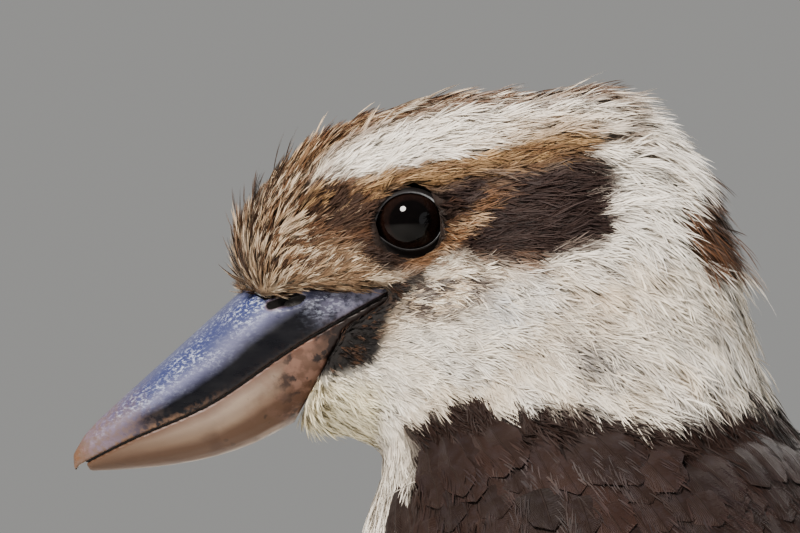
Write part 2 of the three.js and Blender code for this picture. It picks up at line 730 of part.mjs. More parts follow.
for (const [name, side] of SIDES) {
  node(headGroup, `eye_${name}`, eyeball(side), "eye");
  node(bodyGroup, `wing_${name}`, wing(side), "wing");
  const nearBody = bodyLoft(0, LAST, BODY_RINGS, BODY_SIDES, GAP);
  const upperLeg = cutBelow(thigh(side).subtract(nearBody), ANKLE_CUT + GAP);
  const shank = cutAbove(cutBelow(tarsus(side), FOOT_CUT + GAP), ANKLE_CUT);
  node(legGroup, `thigh_${name}`, largest(upperLeg), "white");
  node(legGroup, `tarsus_${name}`, largest(shank), "foot");
  node(legGroup, `foot_${name}`, largest(cutAbove(foot(side), FOOT_CUT)), "foot");
  for (const kind of Object.keys(TOES)) node(legGroup, `claw_${name}_${kind}`, claw(side, kind), "claw");
}

const box = new THREE.Box3().setFromObject(bird);
bird.position.set(-(box.min.x + box.max.x) / 2, -(box.min.y + box.max.y) / 2, EYE_ABOVE_FLOOR);

export default bird;
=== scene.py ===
# %% [markdown]
# # A laughing kookaburra
# The bird stands still, its bill lowered and its left side to the camera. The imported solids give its
# outline and its size. What is added here is what feathers, horn and skin look like close up. Everything is
# in the frame of the solids, so a place is worked out from a solid or from the point between the two eyes,
# in millimetres.

import math

import bmesh
import bpy
import numpy as np
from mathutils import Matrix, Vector
from mathutils.bvhtree import BVHTree


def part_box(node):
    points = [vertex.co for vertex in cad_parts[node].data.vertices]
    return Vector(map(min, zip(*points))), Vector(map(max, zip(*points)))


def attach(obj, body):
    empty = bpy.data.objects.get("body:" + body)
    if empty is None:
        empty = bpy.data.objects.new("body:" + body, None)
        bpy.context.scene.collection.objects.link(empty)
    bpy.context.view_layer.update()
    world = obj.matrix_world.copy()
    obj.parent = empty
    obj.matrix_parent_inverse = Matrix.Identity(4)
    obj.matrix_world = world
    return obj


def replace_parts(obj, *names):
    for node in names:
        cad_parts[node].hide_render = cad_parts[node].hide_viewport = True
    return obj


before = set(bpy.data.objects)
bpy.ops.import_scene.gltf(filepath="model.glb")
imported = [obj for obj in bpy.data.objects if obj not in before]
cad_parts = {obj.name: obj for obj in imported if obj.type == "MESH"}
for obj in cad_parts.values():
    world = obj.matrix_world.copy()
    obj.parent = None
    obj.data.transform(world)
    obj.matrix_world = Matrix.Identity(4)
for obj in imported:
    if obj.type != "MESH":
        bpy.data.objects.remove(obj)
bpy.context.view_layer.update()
rng = np.random.default_rng(11)

eye_boxes = {side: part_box(f"eye_{side}") for side in ("left", "right")}
eye_centres = {side: (low + high) / 2 for side, (low, high) in eye_boxes.items()}
EYES_MIDDLE = (eye_centres["left"] + eye_centres["right"]) / 2
# As in the solids, the body is turned away from the head's direction, about an upright line at NECK_X.
BODY_TURN = math.radians(14)
NECK_X = 45.0


def to_world(points):
    """Millimetres from the middle of the eyes to metres in the frame."""
    return np.asarray(points, float) / 1000 + np.array(EYES_MIDDLE)


def to_bird(points):
    """Metres in the frame to millimetres from the middle of the eyes."""
    return (np.asarray(points, float) - np.array(EYES_MIDDLE)) * 1000


print("eyes at", tuple(round(v, 4) for v in EYES_MIDDLE))

# %% [markdown]
# ## Camera and light
# A long lens keeps the head's proportions, as in a portrait of a wary animal, so the camera stands over a
# metre away. The light could come from a picture of a real sky. An even sky and three large soft lamps need
# no file and are easier to steer: the strongest is high in front of the bird, on the camera's side.

# %% Camera
SENSOR_WIDTH = 36
FRAME_WIDTH = 0.176
CAMERA_AWAY = 1.15
CAMERA_AIM = (-2.2, 0.0, -9.8)

camera_data = bpy.data.cameras.new("camera")
camera_data.lens = SENSOR_WIDTH * CAMERA_AWAY / FRAME_WIDTH
camera = bpy.data.objects.new("camera", camera_data)
bpy.context.scene.collection.objects.link(camera)
camera.location = Vector(to_world(CAMERA_AIM)) - Vector((0, CAMERA_AWAY, 0))
camera.rotation_euler = (math.radians(90), 0, 0)
bpy.context.scene.camera = camera
print("lens of", round(camera_data.lens), "mm,", CAMERA_AWAY, "m away")

# %% Lamps and sky
LAMPS = {
    "key": {"at": (-0.55, -0.9, 0.95), "size": 0.45, "watts": 35, "color": (1.0, 0.95, 0.88)},
    "fill": {"at": (1.3, -0.9, 0.1), "size": 1.4, "watts": 5, "color": (0.93, 0.97, 1.0)},
    "rim": {"at": (0.35, 0.9, 0.9), "size": 0.8, "watts": 16, "color": (1.0, 0.98, 0.95)},
}


def add_lamp(name, at, size, watts, color):
    data = bpy.data.lights.new(name, "AREA")
    data.shape = "DISK"
    data.size = size
    data.energy = watts
    data.color = color
    lamp = bpy.data.objects.new(name, data)
    bpy.context.scene.collection.objects.link(lamp)
    lamp.location = EYES_MIDDLE + Vector(at)
    lamp.rotation_euler = (EYES_MIDDLE - lamp.location).to_track_quat("-Z", "Y").to_euler()


for name, lamp in LAMPS.items():
    add_lamp(name, **lamp)

SKY_COLOUR = (0.66, 0.655, 0.64, 1)
SKY_STRENGTH = 0.43

world = bpy.data.worlds.new("sky")
world.use_nodes = True
sky = world.node_tree.nodes["Background"]
sky.inputs["Color"].default_value = SKY_COLOUR
sky.inputs["Strength"].default_value = SKY_STRENGTH
bpy.context.scene.world = world
print("lamps:", ", ".join(LAMPS))
bpy.context.scene.view_settings.look = "AgX - Medium High Contrast"

# %% [markdown]
# ## A small kit for finishes
# Each finish is a node material. It could be a painted picture, but noise keeps its detail however close
# the camera comes. The patterns are noise in the object's own space, or follow numbers stored on the mesh,
# so that they stay on the surface.


# %% Node kit
class Finish:
    """A node material under construction. Its layers are laid over each other in its color."""

    def __init__(self, name):
        self.material = bpy.data.materials.new(name)
        self.material.use_nodes = True
        self.tree = self.material.node_tree
        self.shader = self.tree.nodes["Principled BSDF"]
        self.place = self.add("ShaderNodeTexCoord").outputs["Object"]
        self.color = None

    def add(self, kind, settings=None, **inputs):
        node = self.tree.nodes.new(kind)
        for key, value in (settings or {}).items():
            setattr(node, key, value)
        for key, value in inputs.items():
            self.set(node.inputs[key.replace("_", " ")], value)
        return node

    def set(self, socket, value):
        if isinstance(value, bpy.types.NodeSocket):
            self.tree.links.new(value, socket)
        else:
            socket.default_value = value

    def noise(self, scale, detail=4.0, stretch=None, rough=0.55, turn=(0, 0, 0)):
        where = self.place
        if stretch:
            where = self.add("ShaderNodeMapping", Vector=where, Scale=stretch, Rotation=turn).outputs[0]
        node = self.add("ShaderNodeTexNoise", Vector=where, Scale=scale, Detail=detail, Roughness=rough)
        return node.outputs["Fac"]

    def stored(self, name, part="Fac"):
        return self.add("ShaderNodeAttribute", {"attribute_name": name}).outputs[part]

    def ramp(self, value, stops):
        node = self.add("ShaderNodeValToRGB", Fac=value)
        points = node.color_ramp.elements
        while len(points) < len(stops):
            points.new(0.5)
        for point, (at, shade) in zip(points, stops):
            point.position = at
            point.color = (shade,) * 3 + (1,) if isinstance(shade, (int, float)) else (*shade, 1)
        return node.outputs["Color"]

    def mix(self, share, first, second, how="MIX"):
        node = self.add("ShaderNodeMix", {"data_type": "RGBA", "blend_type": how})
        self.set(node.inputs["Factor"], share)
        for index, value in ((6, first), (7, second)):
            plain = isinstance(value, tuple) and len(value) == 3
            self.set(node.inputs[index], (*value, 1) if plain else value)
        return node.outputs[2]

    def calculate(self, how, first, second=0.0):
        node = self.add("ShaderNodeMath", {"operation": how})
        self.set(node.inputs[0], first)
        self.set(node.inputs[1], second)
        return node.outputs[0]

    def plus(self, first, second):
        return self.calculate("ADD", first, second)

    def less(self, first, second):
        return self.calculate("SUBTRACT", first, second)

    def times(self, first, second):
        return self.calculate("MULTIPLY", first, second)

    def ragged(self, value, noise, amount):
        """Makes the limits that follow a value uneven, by adding noise about zero."""
        return self.plus(value, self.times(self.less(noise, 0.5), amount))

    def layer(self, share, color):
        self.color = self.mix(share, self.color, color)

    def finish(self, color, roughness, height=None, distance=0.0003, strength=0.6, **sockets):
        self.set(self.shader.inputs["Base Color"], (*color, 1) if isinstance(color, tuple) else color)
        self.set(self.shader.inputs["Roughness"], roughness)
        if height is not None:
            bump = self.add("ShaderNodeBump", Height=height, Distance=distance, Strength=strength)
            self.set(self.shader.inputs["Normal"], bump.outputs["Normal"])
        for key, value in sockets.items():
            self.shader.inputs[key.replace("_", " ")].default_value = value
        print("finish", self.material.name, "of", len(self.tree.nodes), "nodes")
        return self.material


def cover_with(piece, material):
    """Makes a finish the only one of a piece."""
    piece.data.materials.clear()
    piece.data.materials.append(material)


# %% [markdown]
# ## The floor
# The bird could hang in the air, but contact shadows show where it stands. One pale disc, wide enough for
# every view, is the stage and not part of the bird.

# %% Floor
FLOOR_RADIUS = 2.4

floor_mesh = bmesh.new()
bmesh.ops.create_circle(floor_mesh, cap_ends=True, segments=96, radius=FLOOR_RADIUS)
floor_data = bpy.data.meshes.new("floor")
floor_mesh.to_mesh(floor_data)
floor_mesh.free()
floor = bpy.data.objects.new("floor", floor_data)
bpy.context.scene.collection.objects.link(floor)
pale = Finish("pale_floor")
scuffed = pale.ramp(pale.noise(3), [(0, 0.6), (1, 0.75)])
floor_data.materials.append(pale.finish((0.72, 0.72, 0.70), scuffed))

# %% [markdown]
# ## The skin under the feathers
# A feathered bird is much thinner than it looks, because the coat stands off the skin. The skin could be
# sculpted by hand. A voxel remesh is surer, because it closes the seams where solids overlap and keeps
# their outline. The flesh solids are copied, swollen a little so that they meet, fused, smoothed, and then
# sunk by the depth of the coat at each place. The wings are fused in too, as the arms under their feathers.


# %% Refine solids into one smooth mesh
def points_of(mesh, what="co"):
    """The places or the normals of all points of a mesh, one to a row."""
    values = np.zeros(len(mesh.vertices) * 3, np.float32)
    mesh.vertices.foreach_get(what, values)
    return values.reshape(-1, 3).astype(float)


def largest_island(mesh):
    """Deletes every loose part of a mesh but the biggest."""
    shape = bmesh.new()
    shape.from_mesh(mesh)
    unseen = set(shape.verts)
    islands = []
    while unseen:
        stack = [unseen.pop()]
        island = list(stack)
        while stack:
            for edge in stack.pop().link_edges:
                for vert in edge.verts:
                    if vert in unseen:
                        unseen.discard(vert)
                        stack.append(vert)
                        island.append(vert)
        islands.append(island)
    islands.sort(key=len)
    loose = [vert for island in islands[:-1] for vert in island]
    bmesh.ops.delete(shape, geom=loose, context="VERTS")
    shape.to_mesh(mesh)
    shape.free()


def refined(name, nodes, voxel, swell=0.0, smooth=6, one_part=False):
    """Copies of solids, fused at a voxel size in millimetres. With one_part only the largest is kept."""
    joined = bmesh.new()
    for node in nodes:
        part = bmesh.new()
        part.from_mesh(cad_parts[node].data)
        bmesh.ops.remove_doubles(part, verts=part.verts, dist=1e-6)
        part.normal_update()
        for vert in part.verts:
            vert.co += vert.normal * swell / 1000
        data = bpy.data.meshes.new("part")
        part.to_mesh(data)
        part.free()
        joined.from_mesh(data)
    mesh = bpy.data.meshes.new(name)
    joined.to_mesh(mesh)
    joined.free()
    piece = bpy.data.objects.new(name, mesh)
    bpy.context.scene.collection.objects.link(piece)
    fuse = piece.modifiers.new("fuse", "REMESH")
    fuse.mode = "VOXEL"
    fuse.voxel_size = voxel / 1000
    relax = piece.modifiers.new("relax", "SMOOTH")
    relax.iterations = smooth
    relax.factor = 0.5
    done = bpy.data.meshes.new_from_object(piece.evaluated_get(bpy.context.evaluated_depsgraph_get()))
    piece.modifiers.clear()
    piece.data = done
    done.name = name
    if one_part:
        largest_island(done)
    done.polygons.foreach_set("use_smooth", np.ones(len(done.polygons), bool))
    print(name, len(done.polygons), "faces")
    return piece


skin = refined(
    "skin",
    ["head", "neck", "torso", "thigh_left", "thigh_right", "wing_left", "wing_right"],
    voxel=1.62,
    swell=0.35,
    smooth=8,
    one_part=True,
)

# %% [markdown]
# ## The shape of the bill
# The horn of the bill is close to the solid already, so it isn't modelled anew: a fine remesh rounds off
# the facets. Each point of it remembers how far it is from the tip, from the line of the mouth and, on the
# upper half, from the slit of the nostril, for the finish to follow. Between the halves lies the dark of
# the mouth.

# %% Horn
BILL_TIP = np.array([-74.4, -53.9])
BILL_PITCH = math.radians(29.2)
BILL_WAY = np.array([math.cos(BILL_PITCH), math.sin(BILL_PITCH)])
BILL_LENGTH = 88.0


def store_numbers(mesh, name, values):
    layer = mesh.attributes.new(name, "FLOAT", "POINT")
    layer.data.foreach_set("value", np.asarray(values, np.float32))


def horn_piece(name, node, edge_at):
    """A half of the bill. It stores how far each point is from the tip, and from the mouth to its edge."""
    piece = refined(name, [node], voxel=0.5, smooth=3)
    where = to_bird(points_of(piece.data))[:, [0, 2]] - BILL_TIP
    run = np.clip(where @ BILL_WAY, 0, BILL_LENGTH)
    mouth_line = -0.6 - 2.2 * np.exp(-(((run - 34) / 16) ** 2))
    band = (where @ np.array([-BILL_WAY[1], BILL_WAY[0]]) - mouth_line) / (edge_at(run) - mouth_line)
    store_numbers(piece.data, "from_tip", run / BILL_LENGTH)
    store_numbers(piece.data, "from_mouth", np.clip(band, 0, 1))
    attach(piece, "root")
    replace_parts(piece, node)
    return piece


def culmen(run):
    """The bill's upper edge over the line from tip to gape, at a distance from the tip."""
    return 3.6 * (1 - np.exp(-run / 3)) + 0.228 * run


def gonys(run):
    """The bill's lower edge under the same line."""
    return -1.2 - 14.1 * np.sin(math.pi / 2 * np.minimum(run / 43, 1))


upper_horn = horn_piece("upper_horn", "bill_upper", culmen)
lower_horn = horn_piece("lower_horn", "bill_lower", gonys)

# %% Distance from the nostril's slit
SLIT_ENDS = np.array([[-30.4, -18.3], [-24.6, -16.5]])
SLIT_REACH = 4

slit_way = SLIT_ENDS[1] - SLIT_ENDS[0]
past_slit = to_bird(points_of(upper_horn.data))[:, [0, 2]] - SLIT_ENDS[0]
slit_along = np.clip(past_slit @ slit_way / (slit_way @ slit_way), 0, 1)[:, None]
from_slit = np.linalg.norm(past_slit - slit_along * slit_way, axis=1) / SLIT_REACH
store_numbers(upper_horn.data, "from_slit", from_slit)
print("slit", round(float(np.linalg.norm(slit_way)), 1), "mm long")

# %% Inside of the mouth
MOUTH_INSET = 0.0014

mouth = refined("mouth", ["bill_upper", "bill_lower"], voxel=0.8, swell=0.6, smooth=2)
mouth_points = points_of(mouth.data) - points_of(mouth.data, "normal") * MOUTH_INSET
mouth.data.vertices.foreach_set("co", mouth_points.astype(np.float32).ravel())
inside = Finish("mouth_lining")
cover_with(mouth, inside.finish((0.012, 0.009, 0.009), 0.55, inside.noise(900), 0.0002))
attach(mouth, "root")


# %% Distances to the bill
def tree_of(*pieces):
    """A tree of faces for finding the nearest place on pieces, in the bird's millimetres."""
    points, faces = [], []
    for piece in pieces:
        offset = len(points)
        points += [tuple(p) for p in to_bird(points_of(piece.data))]
        faces += [tuple(offset + i for i in face.vertices) for face in piece.data.polygons]
    return BVHTree.FromPolygons(points, faces)


def distances(tree, points, reach=6.0):
    """How far points are from a surface, up to a reach."""
    found = [tree.find_nearest(tuple(p), reach)[3] for p in points]
    return np.array([reach if d is None else d for d in found])


bill_tree = tree_of(upper_horn, lower_horn)
wing_tree = tree_of(*[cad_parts[f"wing_{side}"] for side in eye_boxes])

# %% [markdown]
# ## How the feathers lie
# Feathers point away from the bill, over the head, down the neck and back along the body. They could be
# combed by hand, but a table is easier to read and to change. Each row has a place's name, where it is in
# side view and which way the feathers lie there. The columns after that are the length of a feather, the
# width of a barb, how much it stands up, the depth of the coat and how far the barbs fan out. Between the
# places the numbers are blended, nearer places counting for more.

# %% Places of the coat
PLACES = [
    ("forehead front", (-37, -9), (0.25, 0.97), 8, 0.26, 0.5, 1.3, 0.16),
    ("forehead", (-30, 8), (0.62, 0.78), 9, 0.3, 0.42, 1.8, 0.18),
    ("brow", (-12, 14), (0.92, 0.4), 8, 0.28, 0.16, 1.6, 0.2),
    ("crown", (0, 27), (0.97, 0.22), 12, 0.34, 0.24, 2.2, 0.22),
    ("hind crown", (36, 28), (0.99, 0.04), 12, 0.32, 0.34, 2.6, 0.26),
    ("nape", (60, 14), (0.86, -0.5), 13, 0.32, 0.42, 2.8, 0.28),
    ("nape tuft", (67, -2), (0.72, -0.7), 13.5, 0.32, 0.42, 2.8, 0.28),
    ("lores", (-24, -9), (0.9, 0.42), 5, 0.24, 0.16, 0.9, 0.25),
    ("under the eye", (2, -11), (1.0, 0.0), 5, 0.24, 0.1, 1.0, 0.3),
    ("ear", (28, 3), (0.98, 0.05), 10, 0.28, 0.1, 1.8, 0.18),
    ("gape", (4, -22), (0.95, -0.1), 5, 0.26, 0.14, 1.1, 0.35),
    ("cheek", (22, -20), (0.93, -0.36), 7.5, 0.28, 0.2, 1.8, 0.42),
    ("side of the neck", (52, -15), (0.74, -0.67), 10, 0.32, 0.24, 2.8, 0.4),
    ("back of the neck", (76, -25), (0.42, -0.9), 13, 0.36, 0.34, 3.0, 0.34),
    ("chin", (-14, -42), (0.85, -0.5), 6.5, 0.28, 0.22, 1.3, 0.36),
    ("throat", (-9, -56), (0.35, -0.94), 11, 0.34, 0.24, 2.4, 0.32),
    ("collar", (26, -38), (0.62, -0.78), 10, 0.34, 0.26, 2.8, 0.42),
    ("breast", (-12, -95), (0.1, -1.0), 17, 0.8, 0.16, 3.2, 0.34),
    ("belly", (25, -155), (0.75, -0.66), 20, 1.0, 0.15, 3.6, 0.34),
    ("vent", (110, -205), (0.95, -0.3), 22, 1.1, 0.12, 3.2, 0.3),
    ("thigh", (84, -192), (0.15, -1.0), 12, 0.7, 0.12, 1.8, 0.3),
    ("shoulder", (15, -62), (0.4, -0.92), 11, 0.4, 0.16, 2.6, 0.34),
    ("flank", (60, -120), (0.66, -0.75), 18, 0.9, 0.1, 3.0, 0.32),
    ("mantle", (100, -65), (0.62, -0.78), 16, 0.8, 0.12, 3.0, 0.3),
    ("back", (140, -130), (0.6, -0.8), 18, 0.8, 0.1, 3.0, 0.3),
    ("rump", (172, -185), (0.72, -0.69), 18, 0.8, 0.1, 2.6, 0.3),
]
COLUMNS = {"lie": 2, "long": 3, "wide": 4, "lift": 5, "deep": 6, "fan": 7}
BLEND_POWER = 4
BLEND_CORE = 3


def straightened(points):
    """Undoes the body's turn, so that left and right are alike again."""
    x, y, z = points.T
    share = np.clip((-z - 8 + 0.35 * (x - 20)) / 50, 0, 1) * np.clip((x + 45) / 30, 0, 1)
    angle = BODY_TURN * share
    away = x - NECK_X
    return np.stack(
        [NECK_X + away * np.cos(angle) - y * np.sin(angle), away * np.sin(angle) + y * np.cos(angle), z], 1
    )


def coat_at(points, *keys):
    """The blended numbers of the coat at points given in millimetres."""
    flat = straightened(points)[:, [0, 2]]
    spots = np.array([place[1] for place in PLACES], float)
    away = np.linalg.norm(flat[:, None, :] - spots[None], axis=2) + BLEND_CORE
    weight = away**-BLEND_POWER
    weight /= weight.sum(1, keepdims=True)
    return [weight @ np.array([place[COLUMNS[key]] for place in PLACES], float) for key in keys]


# %% Even out the skin
def even_out(piece, chosen, rounds):
    """Smooths the chosen points of a piece towards their neighbours."""
    shape = bmesh.new()
    shape.from_mesh(piece.data)
    moving = [vert for vert, move in zip(shape.verts, chosen) if move]
    for _ in range(rounds):
        bmesh.ops.smooth_vert(
            shape, verts=moving, factor=0.5, use_axis_x=True, use_axis_y=True, use_axis_z=True
        )
    shape.to_mesh(piece.data)
    shape.free()
    print(piece.name, "evened out at", len(moving), "points")


BREAST_LEVELS = (-130, -68)
BREAST_ROUNDS = 160
WING_NEAR = 2.0
WING_ROUNDS = 30

skin_points = to_bird(points_of(skin.data))
at_breast = (skin_points[:, 2] > BREAST_LEVELS[0]) & (skin_points[:, 2] < BREAST_LEVELS[1])
even_out(skin, at_breast & (points_of(skin.data, "normal")[:, 0] < 0.1), BREAST_ROUNDS)
even_out(skin, distances(wing_tree, skin_points, 4.0) < WING_NEAR, WING_ROUNDS)

# %% Sink the skin below the coat
# The coat thins out towards the bill and round the eye, in millimetres from them.
BILL_FADE = 8.0
EYE_FADE = (9, 5)

skin_points = to_bird(points_of(skin.data))
skin_normals = points_of(skin.data, "normal")
bill_share = np.clip(distances(bill_tree, skin_points, BILL_FADE) / BILL_FADE, 0.12, 1)
depth = coat_at(skin_points, "deep")[0] * bill_share
off_face = np.where(np.abs(skin_points[:, 1]) < 10, 99, 0)
beside_eye = np.hypot(skin_points[:, 0], skin_points[:, 2]) + off_face
depth = depth * (0.45 + 0.55 * np.clip((beside_eye - EYE_FADE[0]) / EYE_FADE[1], 0, 1))
skin_points = skin_points - skin_normals * depth[:, None]
skin.data.vertices.foreach_set("co", to_world(skin_points).astype(np.float32).ravel())
skin.data.update()
print("coat depth", depth.min().round(2), "to", depth.max().round(2), "mm")

# %% [markdown]
# ## Markings
# The bird is white with a brown cap, a broad dark patch behind the eye and a dark back. The pattern could
# be painted on a picture, but then a feather would change colour along its length. Here one function
# colours the skin and the feathers. It takes the place where a feather shows most, so each feather has one
# colour and the edges of a marking break up into single feathers, as on the real bird. A marking is an
# outline with soft edges, a soft spot, or a soft limit along one direction.

# %% Soft outlines
COLOURS = {
    "cream": (0.84, 0.75, 0.62),
    "white": (0.90, 0.85, 0.78),
    "buff": (0.50, 0.37, 0.25),
    "ochre": (0.42, 0.26, 0.12),
    "tawny": (0.23, 0.14, 0.068),
    "brown": (0.14, 0.068, 0.036),
    "dark": (0.038, 0.02, 0.014),
    "mantle": (0.027, 0.0128, 0.0095),
    "grey": (0.42, 0.38, 0.34),
    "gape": (0.02, 0.016, 0.016),
    "yellowish": (0.84, 0.77, 0.55),
    # Dark grey, for the mottle under the eye and as painted shade in the parting of the neck's feathers.
    "dark_grey_and_painted_shade": (0.16, 0.15, 0.155),
    "ear": (0.034, 0.019, 0.017),
    "rust": (0.22, 0.115, 0.06),
    "bluish": (0.58, 0.61, 0.66),
}
EAR_PATCH = [(5, 6), (12, 9.5), (20, 10), (29, 11.5), (37, 14), (41.5, 12.5), (43.5, 7)]
EAR_PATCH += [(44, 1), (43.5, -4), (38, -6), (30, -8), (21, -9), (14, -8), (8, -5)]
BROW = [(-20, 9), (-16, 16), (-6, 21), (4, 25), (20, 27.5), (40, 28.5), (48, 20)]
BROW += [(38, 15), (26, 12), (14, 10), (4, 10), (-6, 8.5), (-14, 5)]
GAPE = [(-23, -34), (-19, -26), (-15, -21.2), (-9, -17.7), (-3.3, -14.4), (0.5, -12.3), (2.2, -13)]
GAPE += [(-1.5, -16.8), (-3.6, -20), (-5, -24), (-4.6, -27.5), (-6.6, -31), (-11, -32.5), (-17, -34)]
# The opening of the eye is this much lower than it is long.
LID_FLAT = 0.87


def outline(points, shape, soft):
    """1 inside a closed outline in side view, 0 outside, blended over soft millimetres at its edge."""
    corner = np.array(shape, float)
    after = np.roll(corner, -1, axis=0)
    flat = points[:, [0, 2]]
    nearest = np.full(len(flat), 1e9)
    inside = np.zeros(len(flat), bool)
    for a, b in zip(corner, after):
        along = np.clip(((flat - a) @ (b - a)) / ((b - a) @ (b - a)), 0, 1)
        nearest = np.minimum(nearest, np.linalg.norm(flat - a - along[:, None] * (b - a), axis=1))
        crosses = (a[1] > flat[:, 1]) != (b[1] > flat[:, 1])
        level = (b[0] - a[0]) * (flat[:, 1] - a[1]) / (b[1] - a[1] + 1e-9) + a[0]
        inside ^= crosses & (flat[:, 0] < level)
    return np.clip(0.5 + np.where(inside, nearest, -nearest) / soft, 0, 1)


def limit(value, start, end):
    """0 before start, 1 after end, smooth between them."""
    t = np.clip((value - start) / (end - start), 0, 1)
    return t * t * (3 - 2 * t)


def lumps(points, size, seed=0):
    """A smooth random field between about -1 and 1, with lumps of a size in millimetres."""
    field = np.zeros(len(points))
    draw = np.random.default_rng(seed)
    for _ in range(7):
        way = draw.normal(size=3)
        field += np.sin(points @ way / size * 2.2 + draw.uniform(0, 6.3))
    return field / 3.2


def blot(*offsets):
    """A soft spot, 1 at its middle, from offsets counted in its own radii."""
    return np.exp(-sum(offset**2 for offset in offsets))


# %% Painting and the dark back
def paint(base, name, share):
    """Lays a named colour over others, with a share for each point."""
    share = np.clip(share, 0, 1)[:, None]
    return base * (1 - share) + np.array(COLOURS[name]) * share


def mantle_share(points):
    """Where the dark back begins: behind the collar and above the flanks."""
    x, y, z = straightened(points).T
    collar = -40.5 + 1.5 * blot((x - 18) / 10) - 3.5 * blot((x - 62) / 12)
    collar = collar - 5 * blot((x - 27) / 2.2) - 0.55 * np.maximum(0, 14 - x)
    above_axis = (x - 33.6) * 0.75 + (z + 50) * 0.66
    shoulder = limit(x + 0.08 * (z + 68), 5, 9) * limit(z, -100, -92)
    return limit(collar - z, -1.5, 1.5) * np.maximum(limit(above_axis, -24, -18), shoulder)


# %% Markings of the head
# Each of these functions takes the colours so far, the points, the points with the body's turn undone, and
# the streaks, which are random numbers from 0 to 1, alike within a tuft.
def throat_and_cheek(shade, points, straight, streaks):
    """Cream and yellowish under the bill, buff and bluish patches and grey hairs on the cheek."""
    x, _, z = straight.T
    shade = paint(shade, "cream", 0.55 * limit(z, -45, -10) * limit(-x, -45, 0))
    shade = paint(shade, "yellowish", 0.75 * limit(z, -52, -46) * limit(-z, 32, 38) * limit(-x, 0, 7))
    low = limit(-z, 6, 14) * limit(x, -2, 8) * limit(z, -70, -50)
    shade = paint(shade, "buff", 0.42 * low * limit(lumps(points, 9, 21), 0.0, 0.8))
    shade = paint(shade, "bluish", 0.5 * low * limit(lumps(points, 8, 22), 0.0, 0.8))
    # The cream over the lower cheek warms it and also darkens it as painted shade, below the brightly lit
    # brow.
    shade = paint(shade, "cream", 0.4 * low)
    cool = blot((x - 22) / 9, (z + 19) / 8)
    shade = paint(shade, "bluish", 0.55 * cool * limit(streaks, 0.1, 0.5))
    tan = blot((x - 46) / 12, (z + 20) / 8) + blot((x - 33) / 9, (z + 31) / 5)
    shade = paint(shade, "buff", 0.5 * tan * limit(streaks, 0.15, 0.6))
    return paint(shade, "grey", 0.6 * low * limit(streaks, 0.82, 0.9))


def face_and_cap(shade, points, straight, streaks):
    """Brown and dark streaks on the forehead and before the eye, and brown ones along the crown."""
    x, y, z = straight.T
    face = limit(-x, -4, 10) * limit(z, -32, -20)
    fore = limit(-x, 8, 24) * limit(z, -16, -8)
    shade = paint(shade, "buff", 0.75 * face)
    shade = paint(shade, "ochre", face * limit(streaks, 0.2, 0.45) * 0.5)
    shade = paint(shade, "brown", np.maximum(0.7 * face, fore) * limit(streaks, 0.34, 0.5) * 0.92)
    shade = paint(shade, "dark", np.maximum(0.35 * face, fore) * limit(streaks, 0.52, 0.66) * 0.85)
    shade = paint(shade, "cream", 0.8 * fore * limit(streaks, 0.86, 0.93))
    cap = limit(-np.abs(y), -19, -13) * limit(z, 8, 16) * limit(-x, -56, -44)
    shade = paint(shade, "ochre", cap * 0.5 * limit(streaks, 0.1, 0.4))
    return paint(shade, "brown", cap * limit(streaks, 0.34, 0.56) * 0.9)


def brow(shade, points, straight, streaks):
    """The white brow, ochre at its back and brown along its lower edge."""
    x, y, z = straight.T
    side = np.abs(y)
    shade = paint(shade, "white", outline(straight, BROW, 5) * limit(side, 6, 12))
    ochre = blot((x - 30) / 13, (z - 17 - 0.1 * (x - 20)) / 4.5)
    shade = paint(shade, "ochre", 0.75 * ochre * limit(side, 8, 14))
    under = blot((z - 8.4 - 0.2 * x) / 3.0) * limit(x, -26, -18) * limit(-x, -44, -36)
    under = limit(under, 0.1, 0.7) * limit(side, 8, 14)
    shade = paint(shade, "ochre", 0.9 * under)
    shade = paint(shade, "tawny", 0.95 * under * limit(streaks, 0.25, 0.5))
    return paint(shade, "brown", 0.6 * under * limit(streaks, 0.62, 0.75))


def round_the_eye(shade, points, straight, streaks):
    """The dark surround of the eye and the brown mask before it."""
    x, y, z = straight.T
    side = np.abs(y)
    around = blot((x + 1.5) / 11, (z + 3) / 8.6)
    shade = paint(shade, "dark", limit(around, 0.3, 0.5) * limit(side, 8, 13))
    mask = blot((x + 15) / 11, (z - 0.5 + 0.15 * x) / 7.5) * limit(side, 4, 9)
    shade = paint(shade, "brown", limit(mask, 0.1, 0.7) * limit(streaks, 0.15, 0.5) * 0.9)
    return paint(shade, "dark", limit(mask, 0.45, 0.85) * limit(streaks, 0.2, 0.5) * 0.85)


def ear(shade, points, straight, streaks):
    """The dark ear patch, the rusty wedge between it and the eye, and the dark ring at the lids."""
    x, y, z = straight.T
    on_side = limit(np.abs(y), 8, 13)
    patch = outline(straight, EAR_PATCH, 4) * on_side
    shade = paint(shade, "brown", patch)
    shade = paint(shade, "ear", patch * np.maximum(0.95 * limit(x, 5, 12), limit(streaks, 0.25, 0.5)))
    wedge = limit(blot((z + 10 - 0.84 * (x - 1.5)) / 2.6), 0.1, 0.6)
    wedge = wedge * limit(x, -3, 3) * limit(-x, -25, -16) * on_side
    shade = paint(shade, "rust", 0.95 * wedge)
    shade = paint(shade, "buff", 0.7 * wedge * limit(streaks, 0.45, 0.75))
    below = blot((z + 9.5) / 2.6) * limit(x, -4, 4) * limit(-x, -38, -26)
    shade = paint(shade, "rust", 0.75 * below * limit(streaks, 0.4, 0.65))
    return paint(shade, "dark", limit(-np.hypot(x, z / LID_FLAT), -9.6, -8.6) * on_side)


